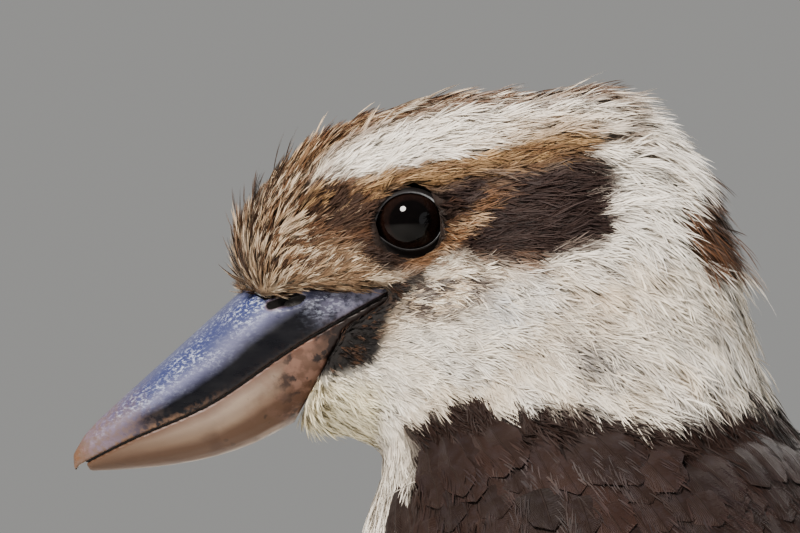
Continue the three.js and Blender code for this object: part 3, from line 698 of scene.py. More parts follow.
def nape_and_mottle(shade, points, straight, streaks):
    """The brown spot on the nape, the dark mottle under the eye and painted shade in the neck's parting."""
    x, y, z = straight.T
    nape = blot((x - 70) / 10, (z + 2) / 11) * limit(-np.abs(y), -27, -19)
    shade = paint(shade, "brown", limit(nape + 0.3 * (streaks - 0.5), 0.25, 0.45))
    shade = paint(shade, "dark", 0.8 * limit(nape, 0.4, 0.7) * limit(streaks, 0.3, 0.6))
    mottle = limit(blot((x - 8) / 12, (z + 16 - 0.2 * (x - 8)) / 6.5), 0.15, 0.8)
    shade = paint(shade, "buff", 0.75 * mottle * limit(streaks, 0.15, 0.4))
    shade = paint(shade, "dark_grey_and_painted_shade", 0.8 * mottle * limit(streaks, 0.48, 0.6))
    shade = paint(shade, "dark", 0.75 * mottle * limit(streaks, 0.66, 0.76))
    # Where the neck's feathers part, the gap between them is painted dark as painted shade.
    parting = blot((x - 46) / 10, (z + 31 + 0.25 * (x - 46)) / 3.6)
    return paint(shade, "dark_grey_and_painted_shade", 0.9 * parting * limit(streaks, 0.3, 0.5))


def gape_skin(shade, points, straight, streaks):
    """The dark skin at the corner of the mouth, and the line that runs on behind it."""
    x, y, z = straight.T
    line = blot((z + 13.1 - 0.6 * x) / 0.9) * limit(x, -7, -5) * limit(-x, -5.5, -3.5)
    shade = paint(shade, "gape", 0.95 * line * limit(np.abs(y), 6, 9))
    gape = outline(straight, GAPE, 2.5)
    shade = paint(shade, "gape", gape)
    return paint(shade, "brown", 0.5 * gape * limit(streaks, 0.6, 0.8))


# %% Markings of the body and of the whole bird
def flank_and_mantle(shade, points, straight, streaks):
    """Faint grey bars on the flanks, and the dark back."""
    x, y, z = straight.T
    bars = limit(np.sin(z / 2.6 + 0.25 * x + 1.5 * lumps(points, 30, 4)), 0.45, 0.9)
    flank = limit(-z, 85, 110) * limit(np.abs(y), 18, 34)
    shade = paint(shade, "grey", 0.32 * bars * flank)
    return paint(shade, "mantle", mantle_share(points))


HEAD_MARKS = (throat_and_cheek, face_and_cap, brow, round_the_eye, ear, nape_and_mottle, gape_skin)
DOWN_SHADE = 0.55


def markings(points, streaks):
    """Colours of feathers that show at points, later marks over earlier ones."""
    straight = straightened(points)
    shade = np.tile(np.array(COLOURS["white"]), (len(points), 1))
    for add_marks in HEAD_MARKS + (flank_and_mantle,):
        shade = add_marks(shade, points, straight, streaks)
    return shade


def store_colours(mesh, name, colours):
    layer = mesh.color_attributes.new(name, "FLOAT_COLOR", "POINT")
    opaque = np.hstack([colours, np.ones((len(colours), 1))])
    layer.data.foreach_set("color", opaque.astype(np.float32).ravel())


tuft_streaks = np.clip(0.5 + 0.35 * lumps(skin_points, 3.2, 1), 0, 1)
skin_colours = markings(skin_points, tuft_streaks) * DOWN_SHADE
store_colours(skin.data, "marking", skin_colours)
print("mean colour of the skin", skin_colours.mean(0).round(3))

# %% [markdown]
# ## Down and horn
# Between a bird's feathers shows its down, so the skin has the markings at about half their brightness and
# a rough finish. The horn of a bill is layered and worn: slate above, with a dark polished stripe, pale
# flakes, a browner tip and crusty edges, and brownish pink below, with stains and pits. It could be painted
# on an unwrap. Bands that follow the stored distances need no unwrap, and noise makes their limits ragged.

# %% Finish of the skin
down = Finish("down")
down_bump = down.noise(1400, 3)
fluff = down.ramp(down.noise(500), [(0.3, 0.25), (0.7, 1)])
down_color = down.mix(0.25, down.stored("marking", "Color"), fluff, "MULTIPLY")
cover_with(skin, down.finish(down_color, 0.85, down_bump, 0.0004))
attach(skin, "root")
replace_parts(skin, "head", "neck", "torso", "thigh_left", "thigh_right")

# %% Upper horn: bands and a polished stripe
slate = Finish("slate_horn")
tip = slate.stored("from_tip")
band = slate.stored("from_mouth")
ALONG_BILL = (0, BILL_PITCH, 0)
# The pale blue stop at 0.56, midway up the side, is a painted highlight.
SLATE_BANDS = [
    (0.0, (0.055, 0.055, 0.09)),
    (0.38, (0.085, 0.087, 0.15)),
    (0.56, (0.145, 0.15, 0.24)),
    (0.7, (0.048, 0.06, 0.15)),
    (0.86, (0.038, 0.05, 0.145)),
    (1.0, (0.085, 0.095, 0.17)),
]
SLATE = {
    "cloud": (0.11, 0.11, 0.165),
    "polish": (0.006, 0.006, 0.009),
    "flake": (0.46, 0.50, 0.62),
    "wedge": (0.26, 0.25, 0.34),
    "worn tip": (0.19, 0.14, 0.16),
    "brown tip": (0.16, 0.09, 0.058),
    "grit": (0.15, 0.105, 0.085),
    "crust": (0.17, 0.10, 0.065),
    "mouth edge": (0.03, 0.017, 0.013),
    "gape": (0.01, 0.008, 0.008),
    "nostril rim": (0.12, 0.07, 0.06),
    "nostril": (0.006, 0.005, 0.005),
}
cloud = slate.noise(60, 5)
wavy = slate.ragged(band, slate.noise(90, 4), 0.16)
slate.color = slate.ramp(wavy, SLATE_BANDS)
slate.layer(slate.ramp(cloud, [(0.4, 0), (0.72, 0.45)]), SLATE["cloud"])
polished = slate.ramp(wavy, [(0.3, 1), (0.5, 0)])
middle_part = slate.ramp(tip, [(0.1, 0), (0.22, 1), (0.68, 1), (0.88, 0.35)])
slate.layer(slate.times(polished, middle_part), SLATE["polish"])

# %% Upper horn: worn flakes
patchy = slate.noise(150, 4, stretch=(0.35, 1, 1), turn=ALONG_BILL)
flake_places = slate.ramp(patchy, [(0.4, 0.15), (0.6, 1)])
fine = slate.noise(1600, 6, stretch=(0.4, 1, 1), turn=ALONG_BILL, rough=0.72)
fine_flakes = slate.ramp(fine, [(0.5, 0), (0.61, 1)])
where_worn = slate.ramp(wavy, [(0.3, 0.0), (0.5, 0.2), (0.66, 1.0), (0.8, 1.0), (0.98, 0.4)])
near_gape = slate.times(slate.ramp(tip, [(0.66, 0), (0.8, 0.8)]), slate.ramp(band, [(0.05, 0), (0.2, 1)]))
worn = slate.calculate("MAXIMUM", where_worn, near_gape)
flakes = slate.times(slate.times(fine_flakes, worn), flake_places)
slate.layer(slate.times(flakes, 0.85), SLATE["flake"])
wedge_edge = slate.ramp(slate.noise(500, 6), [(0.4, 0), (0.55, 1)])
wedge = slate.times(slate.ramp(tip, [(0.7, 0), (0.84, 1)]), wedge_edge)
slate.layer(slate.times(wedge, 0.6), SLATE["wedge"])

# %% Upper horn: tip and edges
rough_tip = slate.ragged(tip, cloud, 0.16)
slate.layer(slate.ramp(rough_tip, [(0.06, 0.85), (0.26, 0)]), SLATE["worn tip"])
slate.layer(slate.ramp(tip, [(0.035, 1), (0.075, 0)]), SLATE["brown tip"])
grit = slate.ramp(slate.noise(800, 5), [(0.42, 0), (0.58, 1)])
slate.layer(slate.times(slate.ramp(tip, [(0.08, 0.75), (0.3, 0)]), grit), SLATE["grit"])
at_edge = slate.ramp(band, [(0.05, 1), (0.16, 0)])
crust_edge = slate.times(at_edge, slate.ramp(tip, [(0.25, 1), (0.45, 0.05)]))
slate.layer(slate.times(crust_edge, grit), SLATE["crust"])
slate.layer(slate.ramp(band, [(0.015, 0.9), (0.05, 0)]), SLATE["mouth edge"])
slate.layer(slate.ramp(tip, [(0.92, 0), (0.955, 1)]), SLATE["gape"])

# %% Upper horn: nostril and relief
slit = slate.ragged(slate.stored("from_slit"), slate.noise(500, 3), 0.1)
slate.layer(slate.ramp(slit, [(0.27, 0.6), (0.38, 0)]), SLATE["nostril rim"])
# The slit is painted near black, as painted shade inside the nostril's opening.
in_slit = slate.ramp(slit, [(0.2, 1), (0.28, 0)])
slate.layer(in_slit, SLATE["nostril"])
grain = slate.noise(420, 6, stretch=(0.25, 1, 1), turn=ALONG_BILL)
roughness = slate.ramp(slate.plus(slate.times(flakes, 0.6), grain), [(0.3, 0.2), (1.0, 0.6)])
roughness = slate.calculate("MAXIMUM", roughness, in_slit)
height = slate.plus(grain, slate.times(flakes, 0.9))
cover_with(upper_horn, slate.finish(slate.color, roughness, height, 0.00012, 0.5, Specular_IOR_Level=0.3))

# %% Lower horn: bands, stains, crust and spots
pink = Finish("pink_horn")
tip = pink.stored("from_tip")
band = pink.stored("from_mouth")
PINK_BANDS = [
    (0.0, (0.26, 0.205, 0.195)),
    (0.05, (0.16, 0.105, 0.085)),
    (0.2, (0.27, 0.21, 0.17)),
    (0.42, (0.235, 0.17, 0.128)),
    (0.6, (0.12, 0.066, 0.041)),
    (0.9, (0.105, 0.054, 0.031)),
    (0.98, (0.22, 0.15, 0.11)),
]
PINK = {
    "tip": (0.095, 0.052, 0.032),
    "stain": (0.05, 0.022, 0.014),
    "back": (0.095, 0.045, 0.03),
    "crust": (0.19, 0.11, 0.085),
    "pit": (0.022, 0.013, 0.012),
    "gape": (0.02, 0.013, 0.012),
    "spot": (0.05, 0.028, 0.02),
}
cloud = pink.noise(70, 5, stretch=(0.5, 1, 1), turn=ALONG_BILL)
wavy = pink.ragged(band, cloud, 0.35)
pink.color = pink.ramp(wavy, PINK_BANDS)
pink.layer(pink.ramp(tip, [(0.08, 0.95), (0.4, 0)]), PINK["tip"])
stain = pink.ramp(pink.noise(130, 6), [(0.48, 0), (0.62, 1)])
low_part = pink.ramp(band, [(0.35, 0.15), (0.7, 1)])
stained = pink.times(low_part, pink.ramp(tip, [(0.3, 0.25), (0.5, 1)]))
pink.layer(pink.times(stain, stained), PINK["stain"])
to_back = pink.ragged(tip, pink.noise(150, 6), 0.3)
pink.layer(pink.ramp(to_back, [(0.48, 0), (0.62, 0.85)]), PINK["back"])
crust = pink.ramp(pink.noise(330, 6), [(0.46, 0), (0.58, 0.8)])
pink.layer(pink.times(crust, pink.ramp(to_back, [(0.46, 0), (0.6, 1)])), PINK["crust"])
pits = pink.ramp(pink.noise(240, 5), [(0.54, 0), (0.6, 1)])
pink.layer(pink.times(pits, pink.ramp(to_back, [(0.5, 0), (0.64, 1)])), PINK["pit"])
pink.layer(pink.ramp(to_back, [(0.68, 0), (0.8, 1)]), PINK["gape"])
spots = pink.ramp(pink.noise(230, 2), [(0.64, 0), (0.68, 0.85)])
pink.layer(pink.times(spots, pink.ramp(tip, [(0.3, 0), (0.45, 1)])), PINK["spot"])
grain = pink.noise(380, 6, stretch=(0.25, 1, 1), turn=ALONG_BILL)
dull = pink.ramp(grain, [(0.3, 0.28), (0.7, 0.5)])
cover_with(lower_horn, pink.finish(pink.color, dull, grain, 0.00014, 0.6, Specular_IOR_Level=0.35))

# %% [markdown]
# ## Eyes
# A bird's eye is a near sphere behind a slightly bulging clear cornea, in a ring of bare lid. The cornea
# could be a shell of glass over an iris. This iris is so dark a brown that it can hardly be told from the
# pupil, so one polished surface coloured by distance from its axis looks the same. The lids are rings, spun
# from a circle.

# %% Eyeballs
EYE_RADIUS = 8.6
CORNEA_RADIUS = 6.2
CORNEA_BULGE = 0.55
EYES_OUT = {"left": -1, "right": 1}


def link_piece(name, mesh, material):
    """A new piece of the bird from a mesh."""
    piece = bpy.data.objects.new(name, mesh)
    bpy.context.scene.collection.objects.link(piece)
    mesh.materials.append(material)
    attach(piece, "root")
    print(name, len(mesh.polygons), "faces")
    return piece


def smooth_mesh(name, shape):
    """A smooth mesh from a bmesh, with its normals outwards."""
    mesh = bpy.data.meshes.new(name)
    bmesh.ops.recalc_face_normals(shape, faces=shape.faces)
    shape.to_mesh(mesh)
    shape.free()
    mesh.polygons.foreach_set("use_smooth", np.ones(len(mesh.polygons), bool))
    return mesh


iris = Finish("dark_eye")
from_axis = iris.stored("from_axis")
fibres = iris.noise(900, 4)
iris_color = iris.ramp(
    from_axis,
    [
        (0.0, (0.003, 0.002, 0.002)),
        (0.5, (0.003, 0.002, 0.002)),
        (0.56, (0.012, 0.006, 0.005)),
        (0.7, (0.016, 0.008, 0.006)),
        (0.77, (0.003, 0.002, 0.002)),
    ],
)
iris_color = iris.mix(0.5, iris_color, iris.ramp(fibres, [(0.35, 0.3), (0.7, 1)]), "MULTIPLY")
eye_finish = iris.finish(iris_color, 0.03, Specular_IOR_Level=0.22)


def eyeball(side):
    shape = bmesh.new()
    bmesh.ops.create_uvsphere(shape, u_segments=64, v_segments=40, radius=EYE_RADIUS / 1000)
    out = EYES_OUT[side]
    for vert in shape.verts:
        x, y, z = vert.co * 1000
        bulge = CORNEA_BULGE * max(0.0, 1 - (math.hypot(x, y) / CORNEA_RADIUS) ** 2) if z > 0 else 0
        vert.co = Vector((x, out * (z + bulge), y)) / 1000
    bmesh.ops.translate(shape, verts=shape.verts, vec=eye_centres[side])
    mesh = smooth_mesh(f"eyeball_{side}", shape)
    where = points_of(mesh) - np.array(eye_centres[side])
    store_numbers(mesh, "from_axis", np.hypot(where[:, 0], where[:, 2]) * 1000 / EYE_RADIUS)
    piece = link_piece(f"eyeball_{side}", mesh, eye_finish)
    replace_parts(piece, f"eye_{side}")
    return piece


for side in EYES_OUT:
    eyeball(side)

# %% Lids
# The skin of the lids is widest below and before the eye. It follows the eyeball until it is LID_DRAPE from
# the middle of the eye, and farther out it lies flat on the cheek.
LID_DRAPE = 4.6
LID_INNER = 7.5
LID_DARK = (0.008, 0.006, 0.006)
LID_PALE = (0.30, 0.31, 0.33)

lid = Finish("bare_lid")
lid_light = lid.stored("light")
wrinkles = lid.noise(1300, 4)
lit = lid.times(lid_light, lid.ramp(wrinkles, [(0.3, 0.5), (0.6, 1)]))
lid_finish = lid.finish(lid.mix(lit, LID_DARK, LID_PALE), 0.6, wrinkles, 0.0002, Specular_IOR_Level=0.2)


def lid_ring(name, side, radius, wide, thick, light):
    """A ring of lid round the eye's axis: it lies on the eyeball and, farther out, on the cheek."""
    out = EYES_OUT[side]
    shape = bmesh.new()
    bmesh.ops.create_circle(shape, segments=16, radius=1)
    for vert in shape.verts:
        vert.co = Vector((radius + vert.co.x * wide, vert.co.y * thick, 0))
    ring = shape.verts[:] + shape.edges[:]
    bmesh.ops.spin(
        shape, geom=ring, cent=(0, 0, 0), axis=(0, 1, 0), angle=2 * math.pi, steps=80, use_merge=True
    )
    for vert in shape.verts:
        x, y, z = vert.co
        bearing = math.atan2(z, -x)
        reach = 0.25 + 0.75 * math.exp(-(((bearing + 0.55) / 1.25) ** 2))
        span = math.hypot(x, z)
        pulled = LID_INNER + (span - LID_INNER) * (reach if span > LID_INNER else 1)
        corner = (1 + 0.1 * math.exp(-(((bearing + 0.3) / 0.4) ** 2))) * pulled / span
        x, z = x * corner, z * corner * LID_FLAT
        drape = max(math.sqrt(max((EYE_RADIUS + 0.1) ** 2 - x * x - z * z, 0)), LID_DRAPE)
        vert.co = Vector((x, out * (drape + y), z)) / 1000
    bmesh.ops.translate(shape, verts=shape.verts, vec=eye_centres[side])
    mesh = smooth_mesh(name, shape)
    where = to_bird(points_of(mesh))
    bearing = np.arctan2(where[:, 2], where[:, 0])
    store_numbers(mesh, "light", light * (0.1 + 0.9 * np.exp(-(((bearing - 0.4) / 0.85) ** 2))))
    return mesh


for side in EYES_OUT:
    for name, ring in {
        f"lid_skin_{side}": {"radius": 9.0, "wide": 1.85, "thick": 0.5, "light": 0.03},
        f"lid_rim_{side}": {"radius": 7.2, "wide": 0.28, "thick": 0.5, "light": 1.0},
    }.items():
        link_piece(name, lid_ring(name, side, **ring), lid_finish)

# %% [markdown]
# ## The coat of fine feathers
# On the head, neck and underside the feathers are loose: their barbs part into fine hairs. They could be
# grown as Blender's hair, but the parts of this library are meshes. Each feather here is rooted on the skin
# at a random place, leaves it at the lift of that place and bends back along it. Its barbs are thin
# tapering blades that fan out from the shaft. Feathers near each other share a lean and a shade. A bmesh
# would be slow for a million faces, so arrays hold all the feathers of a piece at once and go into its mesh
# in one step.

# %% Roots on the skin
skin_mesh = skin.data
skin_mesh.calc_loop_triangles()
corners = np.zeros(len(skin_mesh.loop_triangles) * 3, np.int32)
skin_mesh.loop_triangles.foreach_get("vertices", corners)
corners = corners.reshape(-1, 3)
skin_normals = points_of(skin_mesh, "normal")
triangles = skin_points[corners]
crossed = np.cross(triangles[:, 1] - triangles[:, 0], triangles[:, 2] - triangles[:, 0])
areas = np.linalg.norm(crossed, axis=1) / 2
centres = triangles.mean(1)
print(len(areas), "triangles of skin,", round(areas.sum() / 100), "square centimetres")


def scatter(count, weight):
    """Random places on the skin, where weight is relative to area."""
    share = areas * weight
    face = rng.choice(len(areas), count, p=share / share.sum())
    a, b = rng.random((2, count))
    over = a + b > 1
    a[over], b[over] = 1 - a[over], 1 - b[over]
    mix = np.stack([1 - a - b, a, b], 1)[:, :, None]
    roots = (triangles[face] * mix).sum(1)
    normals = (skin_normals[corners[face]] * mix).sum(1)
    return roots, normals / np.linalg.norm(normals, axis=1, keepdims=True)


# %% Directions of the coat
def lies(points, normals):
    """The way feathers point at each root, along the skin."""
    way = coat_at(points, "lie")[0]
    flat = np.stack([way[:, 0], np.zeros(len(way)), way[:, 1]], 1)
    aligned = flat.copy()
    angle = -BODY_TURN * np.clip((-points[:, 2] - 20) / 60, 0, 1)
    aligned[:, 0] = flat[:, 0] * np.cos(angle)
    aligned[:, 1] = flat[:, 0] * np.sin(angle)
    aligned -= normals * (aligned * normals).sum(1, keepdims=True)
    return aligned / (np.linalg.norm(aligned, axis=1, keepdims=True) + 1e-9)


# A large prime for each axis spreads neighbouring cells of space over a table of random numbers.
CELL_PRIMES = np.array([73856093, 19349663, 83492791])
CELL_TABLE = 8191


def tuft_randoms(points, size, seed, many=4):
    """Random numbers shared by the roots inside the same small cell of space."""
    draw = np.random.default_rng(seed)
    cell = np.floor(points / size + 0.35 * np.sin(points[:, [1, 2, 0]] / size * 1.7)).astype(np.int64)
    index = np.bitwise_xor.reduce(cell * CELL_PRIMES, axis=1) % CELL_TABLE
    return draw.random((CELL_TABLE, many))[index]


# %% Places on an unwrap of the skin
def unwrap(points):
    """An unwrap of the body: round it one way, from the bill to the tail the other, between 0 and 1."""
    x, y, z = straightened(points).T
    along = (x * 0.5 - z * 0.75 + 60) / 330
    middle_x = 20 + np.maximum(0, -z - 30) * 0.75
    middle_z = np.minimum(-12, z * 0.6 + x * 0.2)
    round_it = np.arctan2(y, (z - middle_z) * 0.8 + (x - middle_x) * 0.6) / (2 * math.pi) + 0.5
    return np.stack([round_it, along], 1)


PATCH = 0.003


def store_map(mesh, uv):
    """The OFBake map, from a place for each point of the mesh."""
    loops = np.zeros(len(mesh.loops), np.int32)
    mesh.loops.foreach_get("vertex_index", loops)
    layer = mesh.uv_layers.new(name="OFBake")
    layer.data.foreach_set("uv", uv[loops].astype(np.float32).ravel())


def store_patches(mesh, roots, local, owner):
    """Each feather is a small patch of the map, at its root's place on the unwrap."""
    spots = unwrap(roots)
    low, high = spots.min(0), spots.max(0)
    spots = 0.01 + (spots - low) / (high - low + 1e-9) * 0.975
    store_map(mesh, spots[owner] + (local - 0.5) * PATCH)


# %% Make a mesh from arrays
def mesh_from(name, points, faces):
    """A mesh from an array of points in millimetres and arrays of faces, one per number of corners."""
    mesh = bpy.data.meshes.new(name)
    mesh.vertices.add(len(points))
    mesh.vertices.foreach_set("co", to_world(points).astype(np.float32).ravel())
    counts = np.concatenate([np.full(len(f), f.shape[1], np.int32) for f in faces])
    mesh.loops.add(int(counts.sum()))
    mesh.loops.foreach_set("vertex_index", np.concatenate([f.ravel() for f in faces]).astype(np.int32))
    mesh.polygons.add(len(counts))
    mesh.polygons.foreach_set("loop_start", np.concatenate([[0], np.cumsum(counts)[:-1]]).astype(np.int32))
    mesh.polygons.foreach_set("use_smooth", np.ones(len(counts), bool))
    mesh.update(calc_edges=True)
    return mesh


# %% Keep the eye clear
# No feather reaches nearer than EYE_CLEAR to the middle of the eye's opening.
EYE_CLEAR = 7.75
EYE_OPENING = np.array([-0.9, -1.3])


def from_eye(flat):
    """Places in side view from the middle of the eye's opening, in which the opening is round."""
    return (flat - EYE_OPENING) / (1, LID_FLAT)


def eye_clearance(roots, way, long):
    """Shortens the feathers that would reach over the eye, to end at the lid."""
    flat, ahead = from_eye(roots[:, [0, 2]]), way[:, [0, 2]] / (1, LID_FLAT)
    ahead = ahead / (np.linalg.norm(ahead, axis=1, keepdims=True) + 1e-9)
    nearer = -(flat * ahead).sum(1)
    square = nearer**2 - (flat**2).sum(1) + EYE_CLEAR**2
    room = nearer - np.sqrt(np.maximum(square, 0))
    meets = (square > 0) & (nearer > 0) & (np.abs(roots[:, 1]) > 10)
    return np.where(meets, np.clip(room, 0.8, long), long)


# %% Blades
BLADE_PLACES = np.array([0.0, 0.35, 0.72, 1.0])
BLADE_WIDTHS = np.array([0.55, 1.0, 0.72])
BLADE_UV = np.array([[0.2, 0], [0.8, 0], [0, 0.35], [1, 0.35], [0.15, 0.72], [0.85, 0.72], [0.5, 1]])


def blade_mesh(name, spine, side, wide, shade, roots):
    """Tapering blades along spines of four points, the last one the tip. Each point has its shade."""
    count = len(spine)
    half = side[:, None] * (wide[:, None, None] * BLADE_WIDTHS[None, :, None] / 2)
    edges = np.stack([spine[:, :3] - half, spine[:, :3] + half], 2).reshape(count, 6, 3)
    points = np.concatenate([edges, spine[:, 3:]], 1)
    start = np.arange(count)[:, None] * 7
    quads = np.concatenate([start + np.array([[0, 1, 3, 2]]), start + np.array([[2, 3, 5, 4]])])
    mesh = mesh_from(name, points.reshape(-1, 3), [quads, start + np.array([[4, 5, 6]])])
    store_patches(mesh, roots, np.tile(BLADE_UV, (count, 1)), np.repeat(np.arange(count), 7))
    colours = np.concatenate([np.repeat(shade[:, :3], 2, 1), shade[:, 3:]], 1)
    store_colours(mesh, "marking", np.clip(colours.reshape(-1, 3), 0.002, 1))
    return mesh


# %% Loose feathers
BARBS = 9
HUG_RADIUS = 46.0
# The lower part of a feather is darker, most of all in the blue.
BASE_SHADOW = np.array([0.36, 0.4, 0.44])
TUFT_SIZE = 4.2
STRAY_SHARE = 0.04
SEEN_AT = 0.62
HAIR_SHADE = 0.45


def loose_feathers(name, roots, normals, material):
    """One piece of coat: feathers whose barbs leave the shaft to both sides and end in a round tip."""
    count = len(roots)
    long, wide, lift, fan = coat_at(roots, "long", "wide", "lift", "fan")
    tuft = tuft_randoms(roots, TUFT_SIZE, 5)
    stray = rng.random(count) < STRAY_SHARE
    lie = lies(roots, normals)
    lean = 0.5 * (tuft[:, 0] - 0.5) + rng.normal(0, 0.13, count)
    way = lie * np.cos(lean)[:, None] + np.cross(normals, lie) * np.sin(lean)[:, None]
    side = np.cross(normals, way)
    long = long * (1 - 0.6 * outline(straightened(roots), GAPE, 2))
    long = long * (0.8 + 0.3 * tuft[:, 1] + rng.normal(0, 0.1, count)) * np.where(stray, 1.2, 1)
    over_bill = limit(-roots[:, 0], 20, 28) * (1 - distances(bill_tree, roots, 6.0) / 6)
    long = eye_clearance(roots, way, long * (1 - 0.4 * over_bill))
    lift = lift * (0.6 + 0.8 * tuft[:, 2]) * np.where(stray, 1.5, 1) + rng.normal(0, 0.03, count)
    twist = rng.normal(0, 0.12, count)

    each = (count, BARBS)
    leaves = np.linspace(0, 0.5, BARBS) + rng.uniform(0, 0.12, each)
    reach = rng.uniform(0.36, 0.5, each)
    outwards = np.where(np.arange(BARBS) % 2, 1, -1) * rng.uniform(0.25, 1.0, each)
    u = leaves[..., None] + reach[..., None] * BLADE_PLACES
    run = long[:, None, None] * u
    v = BLADE_PLACES - 0.4 * BLADE_PLACES**2
    aside = (outwards * reach * (fan * long)[:, None])[..., None] * v * 1.6 + twist[:, None, None] * run * u
    up = lift[:, None, None] * run * (1 - 0.3 * u) - run**2 / (2 * HUG_RADIUS) * 0.55
    up = up + rng.normal(0, 0.09, each)[..., None]
    spine = roots[:, None, None] + way[:, None, None] * run[..., None]
    spine = spine + side[:, None, None] * aside[..., None] + normals[:, None, None] * up[..., None]
    turn = outwards * fan[:, None]
    blade_side = side[:, None] - way[:, None] * turn[..., None]
    roll = rng.normal(0, 0.35, each)[..., None]
    blade_side = blade_side * np.cos(roll) + normals[:, None] * np.sin(roll)

    streak = np.clip(0.35 * tuft[:, 3] + 0.7 * rng.random(count) - 0.02, 0, 1)
    seen = roots + way * (SEEN_AT * long)[:, None]
    shade = markings(seen, streak) * (0.9 + 0.12 * tuft[:, 2] + rng.normal(0, 0.05, count))[:, None]
    fade = 1 - np.clip(1 - u / 0.7, 0, 1)[..., None] * BASE_SHADOW
    hairs = 0.015 + 0.07 * limit(lumps(roots, 11, 31), 0.0, 0.8)
    barb = np.where(rng.random(each) < hairs[:, None], HAIR_SHADE, rng.normal(1, 0.05, each))
    colours = shade[:, None, None] * fade * barb[..., None, None]
    total = count * BARBS
    mesh = blade_mesh(
        name,
        spine.reshape(total, 4, 3),
        blade_side.reshape(total, 3),
        (wide[:, None] * rng.uniform(0.45, 1.05, each)).ravel(),
        colours.reshape(total, 4, 3),
        np.repeat(roots, BARBS, 0),
    )
    piece = link_piece(name, mesh, material)
    print(name, count, "feathers of", BARBS, "barbs")
    return piece


plume = Finish("plume")
plume_color = plume.stored("marking", "Color")
uneven = plume.ramp(plume.noise(700, 3), [(0.3, 0.5), (0.7, 1)])
plume_color = plume.mix(0.22, plume_color, uneven, "MULTIPLY")
PLUME_SHEEN = {"Sheen_Weight": 0.15, "Sheen_Roughness": 0.4, "Specular_IOR_Level": 0.25}
plume_finish = plume.finish(plume_color, 0.62, **PLUME_SHEEN)

# %% The body's axis
# In side view, from the front of the torso to the root of the tail.
AXIS_FRONT = np.array([33.6, -50.0])
AXIS_BACK = np.array([169.7, -204.0])
AXIS_LENGTH = float(np.linalg.norm(AXIS_BACK - AXIS_FRONT))
print("axis of", round(AXIS_LENGTH), "mm")


def unturned(points):
    """Undoes the whole of the body's turn, for points of the torso and the wings."""
    away, y = points[:, 0] - NECK_X, points[:, 1]
    x = NECK_X + away * math.cos(BODY_TURN) - y * math.sin(BODY_TURN)
    return np.stack([x, away * math.sin(BODY_TURN) + y * math.cos(BODY_TURN), points[:, 2]], 1)


# %% Where the fine coat grows
COAT_FEATHERS = 4100
SHOULDER_FEATHERS = 1900

long, wide = coat_at(centres, "long", "wide")
bill_gap = distances(bill_tree, centres)
wing_gap = distances(wing_tree, centres)
straight = straightened(centres)
eye_gap = np.linalg.norm(from_eye(centres[:, [0, 2]]), axis=1) + np.where(np.abs(centres[:, 1]) < 10, 99, 0)
bare = outline(straight, GAPE, 1.0)
back = mantle_share(centres)
feathered = (bill_gap > 0.35) & (eye_gap > EYE_CLEAR)
cover = feathered * (1 - 0.4 * bare) / (long * wide)
on_head = limit(centres[:, 2] + 0.75 * centres[:, 0], -22, -14) * limit(centres[:, 2], -52, -45) > 0.5
neck_zone = ~on_head & (centres[:, 2] > -80) & (back < 0.6) & (wing_gap > 3.0)
under_zone = ~on_head & (centres[:, 2] <= -72) & (back < 0.6) & (wing_gap > 3.0)
face_zone = on_head & (centres[:, 0] < 12)
crown_zone = on_head & (centres[:, 0] >= 12)
along_body = ((unturned(centres)[:, [0, 2]] - AXIS_FRONT) @ (AXIS_BACK - AXIS_FRONT)) / AXIS_LENGTH**2
shoulder_zone = ~on_head & (back >= 0.5) & (along_body < 0.02)
ZONES = {
    "coat_face_a": (face_zone, COAT_FEATHERS, "head_feathers"),
    "coat_face_b": (face_zone, COAT_FEATHERS, "head_feathers"),
    "coat_crown_a": (crown_zone, COAT_FEATHERS, "head_feathers"),
    "coat_crown_b": (crown_zone, COAT_FEATHERS, "head_feathers"),
    "coat_collar_a": (neck_zone, COAT_FEATHERS, "white_feathers"),
    "coat_collar_b": (neck_zone, COAT_FEATHERS, "white_feathers"),
    "coat_underside": (under_zone, COAT_FEATHERS, "white_feathers"),
    "coat_shoulder": (shoulder_zone, SHOULDER_FEATHERS, "wing_feathers"),
}
for name, (zone, count, slot) in ZONES.items():
    roots, normals = scatter(count, cover * zone)
    loose_feathers(name, roots, normals, plume_finish)

# %% [markdown]
# ## Vaned feathers
# The mantle, the wings and the tail carry feathers with a shaft and a closed web. Single barbs would be
# lost at this size, so each feather is a small grid of faces, arched across, bent along, rounded at its end
# and a little frayed at its edge, and the finish draws its barbs. Two numbers are stored on it, across the
# web and along the shaft, for the shaft's line, the barbs and the bars of the finish.


# %% Grid of a vaned feather
def vane_grid(count, rows, cols, fray, tip_from=0.6, base=0.35):
    """Across (-1 to 1), along (0 to 1) and relative half width for each point of each feather."""
    along = np.linspace(0, 1, rows + 1)[None, :, None]
    across = np.linspace(-1, 1, cols + 1)[None, None, :]
    swell = np.minimum(1, base + (1 - base) * (along / 0.3) ** 0.7)
    round_tip = np.sqrt(np.clip(1 - (np.clip(along - tip_from, 0, 1) / (1.001 - tip_from)) ** 2.2, 0.0, 1))
    half = np.broadcast_to(swell * np.maximum(round_tip, 0.03), (count, rows + 1, cols + 1)).copy()
    half *= 1 + fray * rng.normal(size=half.shape) * (np.abs(across) > 0.99)
    pull = fray * 0.6 * rng.normal(size=half.shape) / rows
    along = np.broadcast_to(along, half.shape) + pull * (np.broadcast_to(along, half.shape) > 0.3)
    return np.broadcast_to(across, half.shape), np.clip(along, 0, 1.03), half


